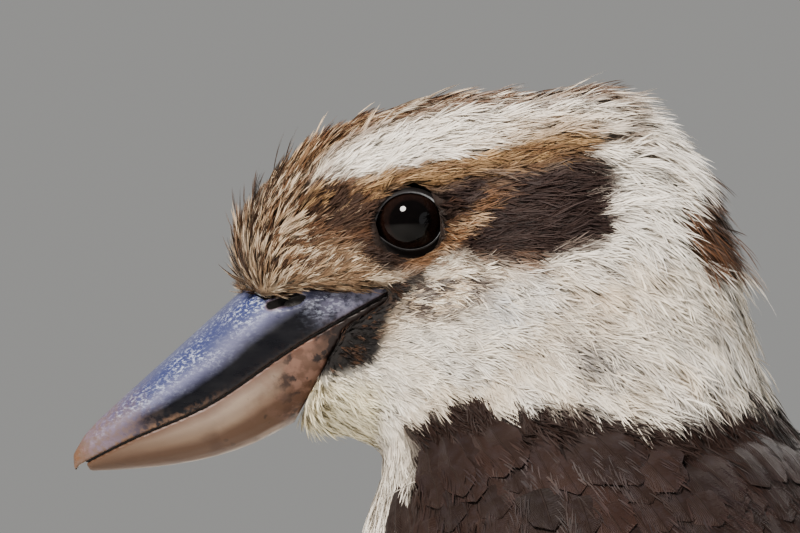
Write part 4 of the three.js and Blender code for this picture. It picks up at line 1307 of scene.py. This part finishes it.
def vane_mesh(name, points, across, along, colours, roots, patches=None):
    """A mesh of feathers from points of shape feathers by rows by columns."""
    count, rows, cols = points.shape[:3]
    index = np.arange(count * rows * cols).reshape(count, rows, cols)
    around = [index[:, :-1, :-1], index[:, :-1, 1:], index[:, 1:, 1:], index[:, 1:, :-1]]
    mesh = mesh_from(name, points.reshape(-1, 3), [np.stack(around, -1).reshape(-1, 4)])
    store_numbers(mesh, "across", across.ravel())
    store_numbers(mesh, "along", along.ravel())
    store_colours(mesh, "marking", np.clip(colours.reshape(-1, 3), 0.002, 1))
    local = np.stack([across.ravel() * 0.5 + 0.5, np.clip(along.ravel(), 0, 1)], 1)
    owner = np.repeat(np.arange(count), rows * cols)
    if patches is None:
        store_patches(mesh, roots, local, owner)
    else:
        store_cells(mesh, local, owner, patches)
    return mesh


def thicken(piece, thickness):
    """Gives webs a thickness in metres, inwards from the outside."""
    wall = piece.modifiers.new("wall", "SOLIDIFY")
    wall.thickness = thickness
    wall.offset = -1


def store_cells(mesh, local, owner, per_side):
    """Each of a few large feathers has a cell of the map to itself."""
    cell = np.stack([owner % per_side, owner // per_side], 1)
    store_map(mesh, (cell + 0.06 + local * 0.88) / per_side)


# %% Finish of vaned feathers
SHAFT_COLOUR = (0.03, 0.018, 0.014)


def barb_place(web, across, along):
    """Barbs run outwards and forwards from the shaft: along, less a share of the way across."""
    slant = web.less(along, web.times(web.calculate("ABSOLUTE", across), 0.16))
    return web.add("ShaderNodeCombineXYZ", X=slant, Y=across, Z=0.0).outputs[0]


def vane_finish(name, sheen, sheen_share, bars=None):
    """The finish of closed webs: patches of a painted sheen, fine barbs, a dark shaft and, where given,
    bars.
    """
    web = Finish(name)
    across, along = web.stored("across"), web.stored("along")
    color = web.stored("marking", "Color")
    grain = web.noise(420, 4)
    barbs = web.add(
        "ShaderNodeTexWave",
        {"wave_type": "BANDS", "bands_direction": "X"},
        Vector=barb_place(web, across, along),
        Scale=15.0,
        Distortion=2.2,
        Detail=2.0,
    ).outputs["Fac"]
    if bars:
        color = bars(web, color, across, along)
    # This grain noise only places patches of painted sheen: the sheen colour laid over the web's own.
    color = web.mix(web.times(web.ramp(grain, [(0.45, 0), (0.7, 1)]), sheen_share), color, sheen)
    color = web.mix(0.3, color, web.ramp(barbs, [(0.2, 0.55), (0.8, 1)]), "MULTIPLY")
    shaft = web.ramp(web.calculate("ABSOLUTE", across), [(0.02, 1), (0.06, 0)])
    color = web.mix(web.times(shaft, 0.45), color, SHAFT_COLOUR)
    height = web.plus(web.times(barbs, 0.5), shaft)
    return web.finish(color, 0.55, height, 0.00025, 0.7, Specular_IOR_Level=0.25, Sheen_Weight=0.04)


# %% [markdown]
# ## A chart of the back and the wings
# The feathers of the back and the folded wings lie in rows, which random places can't give. They are laid
# out on a chart: along the body's axis one way, and by the angle from the ridge of the back the other. The
# chart is measured on the solids by rays shot at the axis. Its grooves are closed and it is smoothed, so
# that the feathers lie on it evenly.

# %% Chart of the body
SECTION_UP = np.array([0.92, 0.39])
CHART_ALONG = np.linspace(-0.3, 1.15, 46)
CHART_ANGLE = np.radians(np.linspace(-24, 176, 51))
CHART_REACH = 140.0
CHART_MISSED = 40.0


def turned(points):
    """Turns points of the straight body into place."""
    away, y = points[..., 0] - NECK_X, points[..., 1]
    x = NECK_X + away * math.cos(BODY_TURN) + y * math.sin(BODY_TURN)
    return np.stack([x, -away * math.sin(BODY_TURN) + y * math.cos(BODY_TURN), points[..., 2]], -1)


def axis_ray(along, angle, out, radius):
    """The point at a radius from the body's axis, on the left (out -1) or right (out 1) side."""
    middle = AXIS_FRONT + along[..., None] * (AXIS_BACK - AXIS_FRONT)
    flat = middle + (radius * np.cos(angle))[..., None] * SECTION_UP
    return turned(np.stack([flat[..., 0], out * radius * np.sin(angle), flat[..., 1]], -1))


HULL_NODES = ("torso", "neck", "wing_left", "wing_right", "tail")
hull_tree = tree_of(*[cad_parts[node] for node in HULL_NODES])


def neighbours(grid):
    """A grid and its four shifted copies."""
    padded = np.pad(grid, 1, mode="edge")
    return np.stack([grid, padded[:-2, 1:-1], padded[2:, 1:-1], padded[1:-1, :-2], padded[1:-1, 2:]])


def body_chart(out):
    """The radius of one side of the body on the chart, with its grooves closed."""
    along, angle = np.meshgrid(CHART_ALONG, CHART_ANGLE, indexing="ij")
    inner = axis_ray(along, angle, out, np.zeros(along.shape)).reshape(-1, 3)
    outer = axis_ray(along, angle, out, np.full(along.shape, CHART_REACH)).reshape(-1, 3)
    radius = []
    for a, b in zip(inner, outer):
        ray = Vector(a - b)
        hit = hull_tree.ray_cast(Vector(b), ray.normalized(), ray.length)[0]
        radius.append(CHART_MISSED if hit is None else (hit - Vector(a)).length)
    radius = np.array(radius).reshape(along.shape)
    for pick in (np.maximum, np.maximum, np.minimum, np.minimum):
        radius = pick.reduce(neighbours(radius))
    for _ in range(5):
        radius = (neighbours(radius)[1:].sum(0) + 4 * radius) / 8
    return radius


CHARTS = {out: body_chart(out) for out in (-1, 1)}
print("chart radius", CHARTS[-1].min().round(), "to", CHARTS[-1].max().round(), "mm")


def on_grid(value, ticks):
    """The tick below a value, and how far the value is on the way to the next tick."""
    place = np.clip((value - ticks[0]) / (ticks[1] - ticks[0]), 0, len(ticks) - 1.001)
    below = place.astype(int)
    return below, place - below


def on_body(out, along, angle, high):
    """Points of the body's outside, raised by high millimetres."""
    chart = CHARTS[out]

    def surface(s, angle):
        a, u = on_grid(s, CHART_ALONG)
        b, v = on_grid(angle, CHART_ANGLE)
        low = chart[a, b] * (1 - v) + chart[a, b + 1] * v
        far = chart[a + 1, b] * (1 - v) + chart[a + 1, b + 1] * v
        return axis_ray(s, angle, out, low * (1 - u) + far * u)

    point = surface(along, angle)
    lengthwise = surface(along + 0.02, angle) - surface(along - 0.02, angle)
    round_it = surface(along, angle + 0.05) - surface(along, angle - 0.05)
    normal = np.cross(lengthwise, round_it)
    normal /= np.linalg.norm(normal, axis=-1, keepdims=True) + 1e-9
    centre = axis_ray(along, angle, out, np.zeros(along.shape))
    normal *= np.sign((normal * (point - centre)).sum(-1, keepdims=True))
    return point + normal * high[..., None]


def body_radius(along):
    """Millimetres of skin for each radian round the body."""
    return 62 - 22 * np.clip(along, 0, 1)


# %% [markdown]
# ## Mantle and back
# The back is covered by rounded feathers that overlap like tiles, in rows that follow the chart. One
# feather could be copied all over it, but then each would lie the same. Here each is built where it lies,
# half a feather aside from those of the last row. Its root is drawn down to the skin and its end rises a
# little. Loose barbs along its edge hide the hard outline of the web.

# %% Rows of the mantle
# Steps and lengths are in millimetres. Past MANTLE_OVER_WING, a share of the body's axis, the wing's own
# feathers take over. Over the first TUCK_ALONG of its length a feather rises from the skin.
# MANTLE_SHEEN is a painted sheen: a lighter, greyer colour laid in patches over the dark webs and their
# fringe.
MANTLE_SHEEN = (0.06, 0.05, 0.06)
ROW_STEP = 4.6
FEATHER_STEP = 6.2
MANTLE_OVER_WING = 0.14
MANTLE_LENGTH = 17
MANTLE_HALF = 6.6
FRINGE_BARBS = 16
TUCK_ALONG = 0.5

mantle_finish = vane_finish("mantle_web", MANTLE_SHEEN, 0.25)
hair = Finish("mantle_fringe")
# Patches of painted sheen lie over the fringe's own colour.
painted_sheen_patches = hair.ramp(hair.noise(160, 3), [(0.4, 0), (0.7, 0.3)])
hair_color = hair.mix(painted_sheen_patches, hair.stored("marking", "Color"), MANTLE_SHEEN)
fringe_finish = hair.finish(hair_color, 0.55, Specular_IOR_Level=0.25, Sheen_Weight=0.05)
skin_tree = tree_of(skin)


def tucked(points, along):
    """Draws the first part of each feather down to the skin, where its root is."""
    share = np.clip(1 - along / TUCK_ALONG, 0, 1) ** 1.5
    moved = points.copy()
    for index in np.argwhere(share > 0.01):
        index = tuple(index)
        place, normal = skin_tree.find_nearest(tuple(points[index]))[:2]
        if place is not None:
            moved[index] += share[index] * (np.array(place) + 0.5 * np.array(normal) - points[index])
    return moved


def mantle_places(out):
    """Roots of the back's feathers: the share of the body's axis, and millimetres from the ridge."""
    places = []
    for row, s in enumerate(np.arange(-0.26, 1.0, ROW_STEP / AXIS_LENGTH)):
        edge = np.interp(s, [MANTLE_OVER_WING, MANTLE_OVER_WING + 0.06], [155, 0])
        edge = max(edge, np.interp(s, WING_PLACES, WING_UPPER) * body_radius(s) + 4)
        steps = np.arange(-2 + FEATHER_STEP * 0.5 * (row % 2), edge, FEATHER_STEP)
        places += [(s, step) for step in steps]
    places = np.array(places) + rng.normal(0, 1, (len(places), 2)) * np.array([0.003, 0.6])
    roots = on_body(out, places[:, 0], places[:, 1] / body_radius(places[:, 0]), np.zeros(len(places)))
    return places[mantle_share(roots) > 0.85]


def mantle_feathers(side, rows=8, cols=6):
    """The webs of one side of the back, and their fringe."""
    out = EYES_OUT[side]
    places = mantle_places(out)
    count = len(places)
    first, step = places.T[..., None, None]
    varied = rng.normal(0, 1, (6, count, 1, 1))
    long = MANTLE_LENGTH * (1 + 0.08 * varied[0])

    def spot(along, off, high):
        """A point of each feather: how far along it, millimetres off its shaft, and height."""
        s = first + long * along / AXIS_LENGTH
        aside = step + off + 0.1 * varied[1] * along * long
        rise = -2.4 * (1 - np.clip(along / 0.5, 0, 1)) ** 1.5 + 0.5 * along**2
        over_wing = 1.6 * np.clip((step - 45) / 20, 0, 1) * np.clip(along * 2, 0, 1)
        high = 0.1 + over_wing + rise - 0.014 * off**2 + 0.2 * varied[2] + 0.04 * varied[3] * off + high
        return on_body(out, s, aside / body_radius(s), high)

    across, along, half = vane_grid(count, rows, cols, 0.1, tip_from=0.45, base=0.15)
    uneven = 0.03 * rng.normal(size=along.shape)
    points = tucked(spot(along, across * half * MANTLE_HALF, uneven), along)
    roots = points[:, 0, cols // 2]
    shade = np.array(COLOURS["mantle"]) * (1 + 0.2 * varied[4])[..., 0]
    fade = 0.7 + 0.3 * along + 0.2 * np.abs(across) ** 3
    name = f"mantle_{side}"
    mesh = vane_mesh(name, points, across, along, shade[:, None, None, :] * fade[..., None], roots)
    link_piece(name, mesh, mantle_finish)

    each = (count, FRINGE_BARBS, 1)
    leaves = rng.uniform(0.45, 0.9, each)
    outwards = np.where(rng.random(each) < 0.5, -1, 1)
    u = leaves + rng.uniform(0.14, 0.24, each) * BLADE_PLACES
    room = MANTLE_HALF * np.sqrt(np.clip(1.02 - np.clip(leaves - 0.5, 0, 1) / 0.5, 0, 1))
    off = outwards * (room * rng.uniform(0.35, 0.85, each) + 1.7 * BLADE_PLACES * (1 - 0.4 * BLADE_PLACES))
    lifted = 0.12 + rng.uniform(0, 0.25, each) * BLADE_PLACES
    spine = spot(u, off, lifted)
    ahead = spine[..., 3, :] - spine[..., 0, :]
    normal = spot(u, off, lifted + 1)[..., 0, :] - spine[..., 0, :]
    flat = np.cross(normal, ahead)
    flat /= np.linalg.norm(flat, axis=-1, keepdims=True) + 1e-9
    total = count * FRINGE_BARBS
    lighter = rng.uniform(0.55, 1.2, each)[..., None] * np.linspace(0.85, 1.25, 4)[:, None]
    tint = shade[:, None, None, :] * lighter
    fringe = blade_mesh(
        f"mantle_fringe_{side}",
        spine.reshape(total, 4, 3),
        flat.reshape(total, 3),
        rng.uniform(0.18, 0.38, total),
        tint.reshape(total, 4, 3),
        np.repeat(roots, FRINGE_BARBS, 0),
    )
    link_piece(f"mantle_fringe_{side}", fringe, fringe_finish)
    print(name, count, "feathers")


# %% Where the wing lies on its chart
def wing_spread(node, out):
    """The middle and the half angle of a wing at a few places along it, measured on its solid."""
    flat = unturned(to_bird(points_of(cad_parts[node].data)))
    basis = np.stack([AXIS_BACK - AXIS_FRONT, SECTION_UP], 1)
    along, up = np.linalg.solve(basis, (flat[:, [0, 2]] - AXIS_FRONT).T)
    angle = np.arctan2(np.abs(flat[:, 1]), up)
    places = np.linspace(along.min(), along.max(), 12)
    low = [angle[np.abs(along - s) < 0.08].min() for s in places]
    high = [angle[np.abs(along - s) < 0.08].max() for s in places]
    return places, np.array(low), np.array(high)


WING_PLACES, WING_UPPER, WING_LOWER = wing_spread("wing_left", -1)
print("wing from", WING_PLACES[0].round(2), "to", WING_PLACES[-1].round(2), "of the axis")


def wing_middle(along):
    """The angle of the wing's middle line."""
    return np.interp(along, WING_PLACES, (WING_UPPER + WING_LOWER) / 2)


def wing_half(along):
    """Half the width of the wing in millimetres."""
    return np.interp(along, WING_PLACES, (WING_LOWER - WING_UPPER) / 2) * body_radius(along)


for side in EYES_OUT:
    mantle_feathers(side)

# %% [markdown]
# ## Wings
# Seen from the side a folded wing is tiers of feathers: primaries at the tip, secondaries over them, three
# orders of coverts over those, and the scapulars along the back. It could be one surface with the tiers
# painted on it, but their steps catch the light, so each feather is a web of its own and each tier's roots
# hide under the next. Pairs in the table are for the upper and the lower feather of a tier: where roots and
# tips are along the body's axis, and which part of the wing's half width the lanes start and end at. Then
# come half the width of a feather and its height over the chart, in millimetres.

# %% Tiers of the wing
# Name, number of feathers, roots, tips, starts of lanes, ends of lanes, half width, height.
WING_TIERS = [
    ("primaries", 9, (0.34, 0.42), (0.84, 1.0), (0.1, 0.85), (-0.7, 0.6), 6.5, -2.2),
    ("secondaries", 11, (0.3, 0.18), (0.7, 0.8), (-0.8, 0.85), (-0.75, 0.85), 6.4, -1.2),
    ("greater_coverts", 13, (0.17, 0.08), (0.48, 0.42), (-0.86, 0.88), (-0.84, 0.88), 5.6, -0.4),
    ("median_coverts", 13, (0.09, 0.03), (0.34, 0.28), (-0.84, 0.86), (-0.86, 0.88), 5.4, 0.2),
    ("lesser_coverts_low", 12, (0.05, 0.0), (0.25, 0.19), (-0.8, 0.82), (-0.86, 0.86), 5.4, 0.6),
    ("lesser_coverts_middle", 11, (0.0, -0.03), (0.17, 0.12), (-0.8, 0.8), (-0.88, 0.84), 5.4, 0.9),
    ("scapulars", 9, (0.4, 0.1), (0.62, 0.28), (-1.0, -1.0), (-0.8, -0.92), 7.0, 1.2),
]
PALE_ENDS = {"median_coverts": 1.0, "lesser_coverts_low": 0.75, "greater_coverts": 0.35}
PALE_BLUE = (0.3, 0.42, 0.52)
WEB_THICKNESS = 0.00025
# Tiers lower than FLIGHT_BELOW are flight feathers. The roots of those from TUCKED_FROM up are drawn to the
# skin.
FLIGHT_BELOW = -1
TUCKED_FROM = 0.2


def wing_bars(web, color, across, along):
    """Pale blue ends, broken up, by the paleness that each feather stores."""
    patch = web.ramp(web.plus(along, web.times(web.noise(260, 4), 0.25)), [(0.93, 0), (1.0, 1)])
    return web.mix(web.times(patch, web.stored("pale")), color, PALE_BLUE)


wing_finish = vane_finish("wing_web", (0.075, 0.055, 0.05), 0.3, bars=wing_bars)


def between(pair, share):
    """A value on the way from the first of a pair to the second."""
    return pair[0] + (pair[1] - pair[0]) * share


def wing_tier(side, name, count, root, tip, lane, end, half_width, raised, rows=16, cols=6):
    """One tier of one wing, from a row of the table."""
    tip_from, base = (0.78, 0.35) if raised < FLIGHT_BELOW else (0.6, 0.15)
    across, along, half = vane_grid(count, rows, cols, 0.05, tip_from, base)
    share = np.linspace(0, 1, count)[:, None, None]

    def varied(size):
        return rng.normal(0, size, count)[:, None, None]

    tips = between(tip, share) + varied(0.009)
    s = between((between(root, share), tips), along)
    ends = between(end, share) + varied(0.02)
    middle = between((between(lane, share), ends), along) * wing_half(s)
    out_by = across * half * half_width * (1 + varied(0.05))
    rise = -2.2 * (1 - np.clip(along / 0.45, 0, 1)) ** 1.5
    arch = -0.5 * across**2 * half
    high = raised + rise + arch + 0.45 * across + varied(0.1) + 0.03 * rng.normal(size=s.shape)
    points = on_body(EYES_OUT[side], s, wing_middle(s) + (middle + out_by) / body_radius(s), high)
    if raised >= TUCKED_FROM:
        points = tucked(points, along * 1.6)
    shade = np.array(COLOURS["mantle"]) * rng.uniform(0.8, 1.25, count)[:, None]
    fade = 0.8 + 0.25 * along + 0.3 * np.abs(across) ** 4
    colours = shade[:, None, None] * fade[..., None]
    mesh = vane_mesh(f"{name}_{side}", points, across, along, colours, points[:, 0, cols // 2], patches=4)
    paleness = np.clip(PALE_ENDS.get(name, 0.0) * rng.uniform(0.2, 1.3, count), 0, 1)
    store_numbers(mesh, "pale", np.repeat(paleness, (rows + 1) * (cols + 1)))
    piece = link_piece(f"{name}_{side}", mesh, wing_finish)
    thicken(piece, WEB_THICKNESS)
    return piece


for side in EYES_OUT:
    pieces = [wing_tier(side, *tier) for tier in WING_TIERS]
    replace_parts(pieces[0], f"wing_{side}")

# %% [markdown]
# ## Tail
# Twelve tail feathers lie in a fan, the middle pair on top. They are rufous with black bars and white ends.
# The bars could be stored as colours on the mesh, but the finish draws them sharper from the stored
# distance along the feather. Short coverts hide the roots, above and below.

# %% Tail feathers
TAIL_ROOT = np.array([176.0, -199.0])
TAIL_DROP = math.radians(14)
TAIL_LENGTH = 150.0
TAIL_PAIRS = 6
TAIL_THICKNESS = 0.0003
TAIL_SHEEN = (0.5, 0.32, 0.2)
TAIL_WHITE = (0.82, 0.78, 0.7)
BAR_BLACK = (0.03, 0.018, 0.014)
RUFOUS = (0.36, 0.17, 0.075)


def on_tail(run, side, high):
    """Places on the tail: along it from its root, to the side and over it."""
    x = TAIL_ROOT[0] + run * math.cos(TAIL_DROP) + high * math.sin(TAIL_DROP)
    z = TAIL_ROOT[1] - run * math.sin(TAIL_DROP) + high * math.cos(TAIL_DROP)
    return turned(np.stack([x, side, z], -1))


def tail_bars(web, color, across, along):
    """Ragged black bars across the web, up to its white end."""
    bend = web.times(web.calculate("ABSOLUTE", across), 0.012)
    ragged = web.times(web.noise(300, 5), 0.035)
    where = web.plus(web.less(along, bend), ragged)
    wave = web.calculate("SINE", web.times(where, 62.0))
    bars = web.times(web.ramp(wave, [(0.15, 0), (0.4, 1)]), web.ramp(along, [(0.9, 1), (0.93, 0)]))
    color = web.mix(bars, color, BAR_BLACK)
    return web.mix(web.ramp(along, [(0.93, 0), (0.965, 1)]), color, TAIL_WHITE)


tail_finish = vane_finish("tail_web", TAIL_SHEEN, 0.2, bars=tail_bars)


def tail_fan(rows=34, cols=8):
    pair = np.repeat(np.arange(TAIL_PAIRS), 2)[:, None, None]
    out = np.tile([-1, 1], TAIL_PAIRS)[:, None, None]
    across, along, half = vane_grid(len(pair), rows, cols, 0.03, tip_from=0.86, base=0.25)
    length = TAIL_LENGTH - 3 * pair - 5 * np.maximum(0, pair - 3)
    run = 4 + (length - 4) * np.minimum(along, 1.0)
    middle = 2.4 + 1.7 * pair + np.tan(np.radians(0.9 + 1.15 * pair)) * length * along
    spot = out * middle + across * half * 11.8
    layer = 2.6 - 0.9 * pair + 0.25 * (out > 0) - 0.0032 * spot**2 - 0.4 * across**2
    layer = layer + 0.5 * (1 - along) ** 3
    points = on_tail(run, spot, layer)
    shade = np.array(RUFOUS) * rng.uniform(0.85, 1.15, len(pair))[:, None]
    roots = points[:, 0, cols // 2]
    fade = 1 + 0.25 * np.abs(across) ** 4
    colours = shade[:, None, None] * fade[..., None]
    mesh = vane_mesh("tail_feathers", points, across, along, colours, roots, patches=4)
    piece = link_piece("tail_feathers", mesh, tail_finish)
    thicken(piece, TAIL_THICKNESS)
    return piece


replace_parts(tail_fan(), "tail")

# %% Coverts over and under the tail's root
covert_finish = vane_finish("covert_web", TAIL_SHEEN, 0.2, bars=tail_bars)
under_finish = vane_finish("under_web", (0.8, 0.74, 0.66), 0.3)
COVERT_RUFOUS = (0.30, 0.15, 0.075)


def tail_coverts(name, over, lengths, rows=12, cols=6):
    """Rows of coverts over or under the tail's root, one for each length."""
    places = [(row, k) for row in range(len(lengths)) for k in np.linspace(-1, 1, 8 - row)]
    row = np.array([p[0] for p in places])[:, None, None]
    spot = np.array([p[1] for p in places])[:, None, None]
    count = len(places)
    across, along, half = vane_grid(count, rows, cols, 0.08)
    varied = rng.uniform(0.93, 1.07, count)[:, None, None]
    long = np.array(lengths)[row] * (1 - 0.25 * np.abs(spot)) * varied
    run = -14 + long * along
    side = spot * (11 + 5 * along) + across * half * 6.2
    level = (3.4 + 1.5 * row + 1.8 * np.minimum(along * 2, 1)) * (1 - 0.35 * np.abs(spot))
    level = level - 2.6 * (along > 0.5) * (along - 0.5)
    level = np.where(over, 1, -1) * level - 0.4 * across**2
    points = on_tail(run, side, level)
    base = np.array(COVERT_RUFOUS if over else COLOURS["white"])
    shade = base * rng.uniform(0.85, 1.1, count)[:, None]
    colours = shade[:, None, None] * np.ones(along.shape + (1,))
    mesh = vane_mesh(name, points, across, along, colours, points[:, 0, 0], patches=6)
    piece = link_piece(name, mesh, covert_finish if over else under_finish)
    thicken(piece, WEB_THICKNESS)


tail_coverts("upper_tail_coverts", True, (58, 44, 30))
tail_coverts("under_tail_coverts", False, (64, 48, 32))

# %% [markdown]
# ## Legs and claws
# A kingfisher's short legs are bare and covered by small scales. Each scale could be modelled, but they are
# under a millimetre, so a relief of cells on the remeshed solids is enough. The claws are smooth dark horn.

# %% Feet
feet = refined(
    "feet", ["tarsus_left", "tarsus_right", "foot_left", "foot_right"], voxel=0.7, swell=0.25, smooth=3
)
SCALE_DARK = (0.17, 0.155, 0.12)
SCALE_PALE = (0.30, 0.28, 0.23)
GROOVE_COLOUR = (0.06, 0.05, 0.045)

scaly = Finish("scaly_skin")
cells = scaly.add(
    "ShaderNodeTexVoronoi", {"feature": "DISTANCE_TO_EDGE"}, Vector=scaly.place, Scale=520.0
).outputs["Distance"]
plates = scaly.ramp(cells, [(0.02, 0), (0.12, 1)])
scale_color = scaly.mix(scaly.noise(200, 4), SCALE_DARK, SCALE_PALE)
scale_color = scaly.mix(scaly.less(1.0, plates), scale_color, GROOVE_COLOUR)
cover_with(feet, scaly.finish(scale_color, 0.5, plates, 0.0004, 0.8))
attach(feet, "root")
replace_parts(feet, "tarsus_left", "tarsus_right", "foot_left", "foot_right")

# %% Claws
claw_nodes = [f"claw_{side}_{toe}" for side in EYES_OUT for toe in ("inner", "middle", "outer", "hind")]
claws = refined("claws", claw_nodes, voxel=0.35, swell=0.1, smooth=3)
claw_horn = Finish("claw_horn")
claw_color = claw_horn.mix(claw_horn.noise(300, 4), (0.02, 0.016, 0.014), (0.09, 0.075, 0.065))
cover_with(claws, claw_horn.finish(claw_color, 0.35, claw_horn.noise(900), 0.0001))
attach(claws, "root")
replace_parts(claws, *claw_nodes)
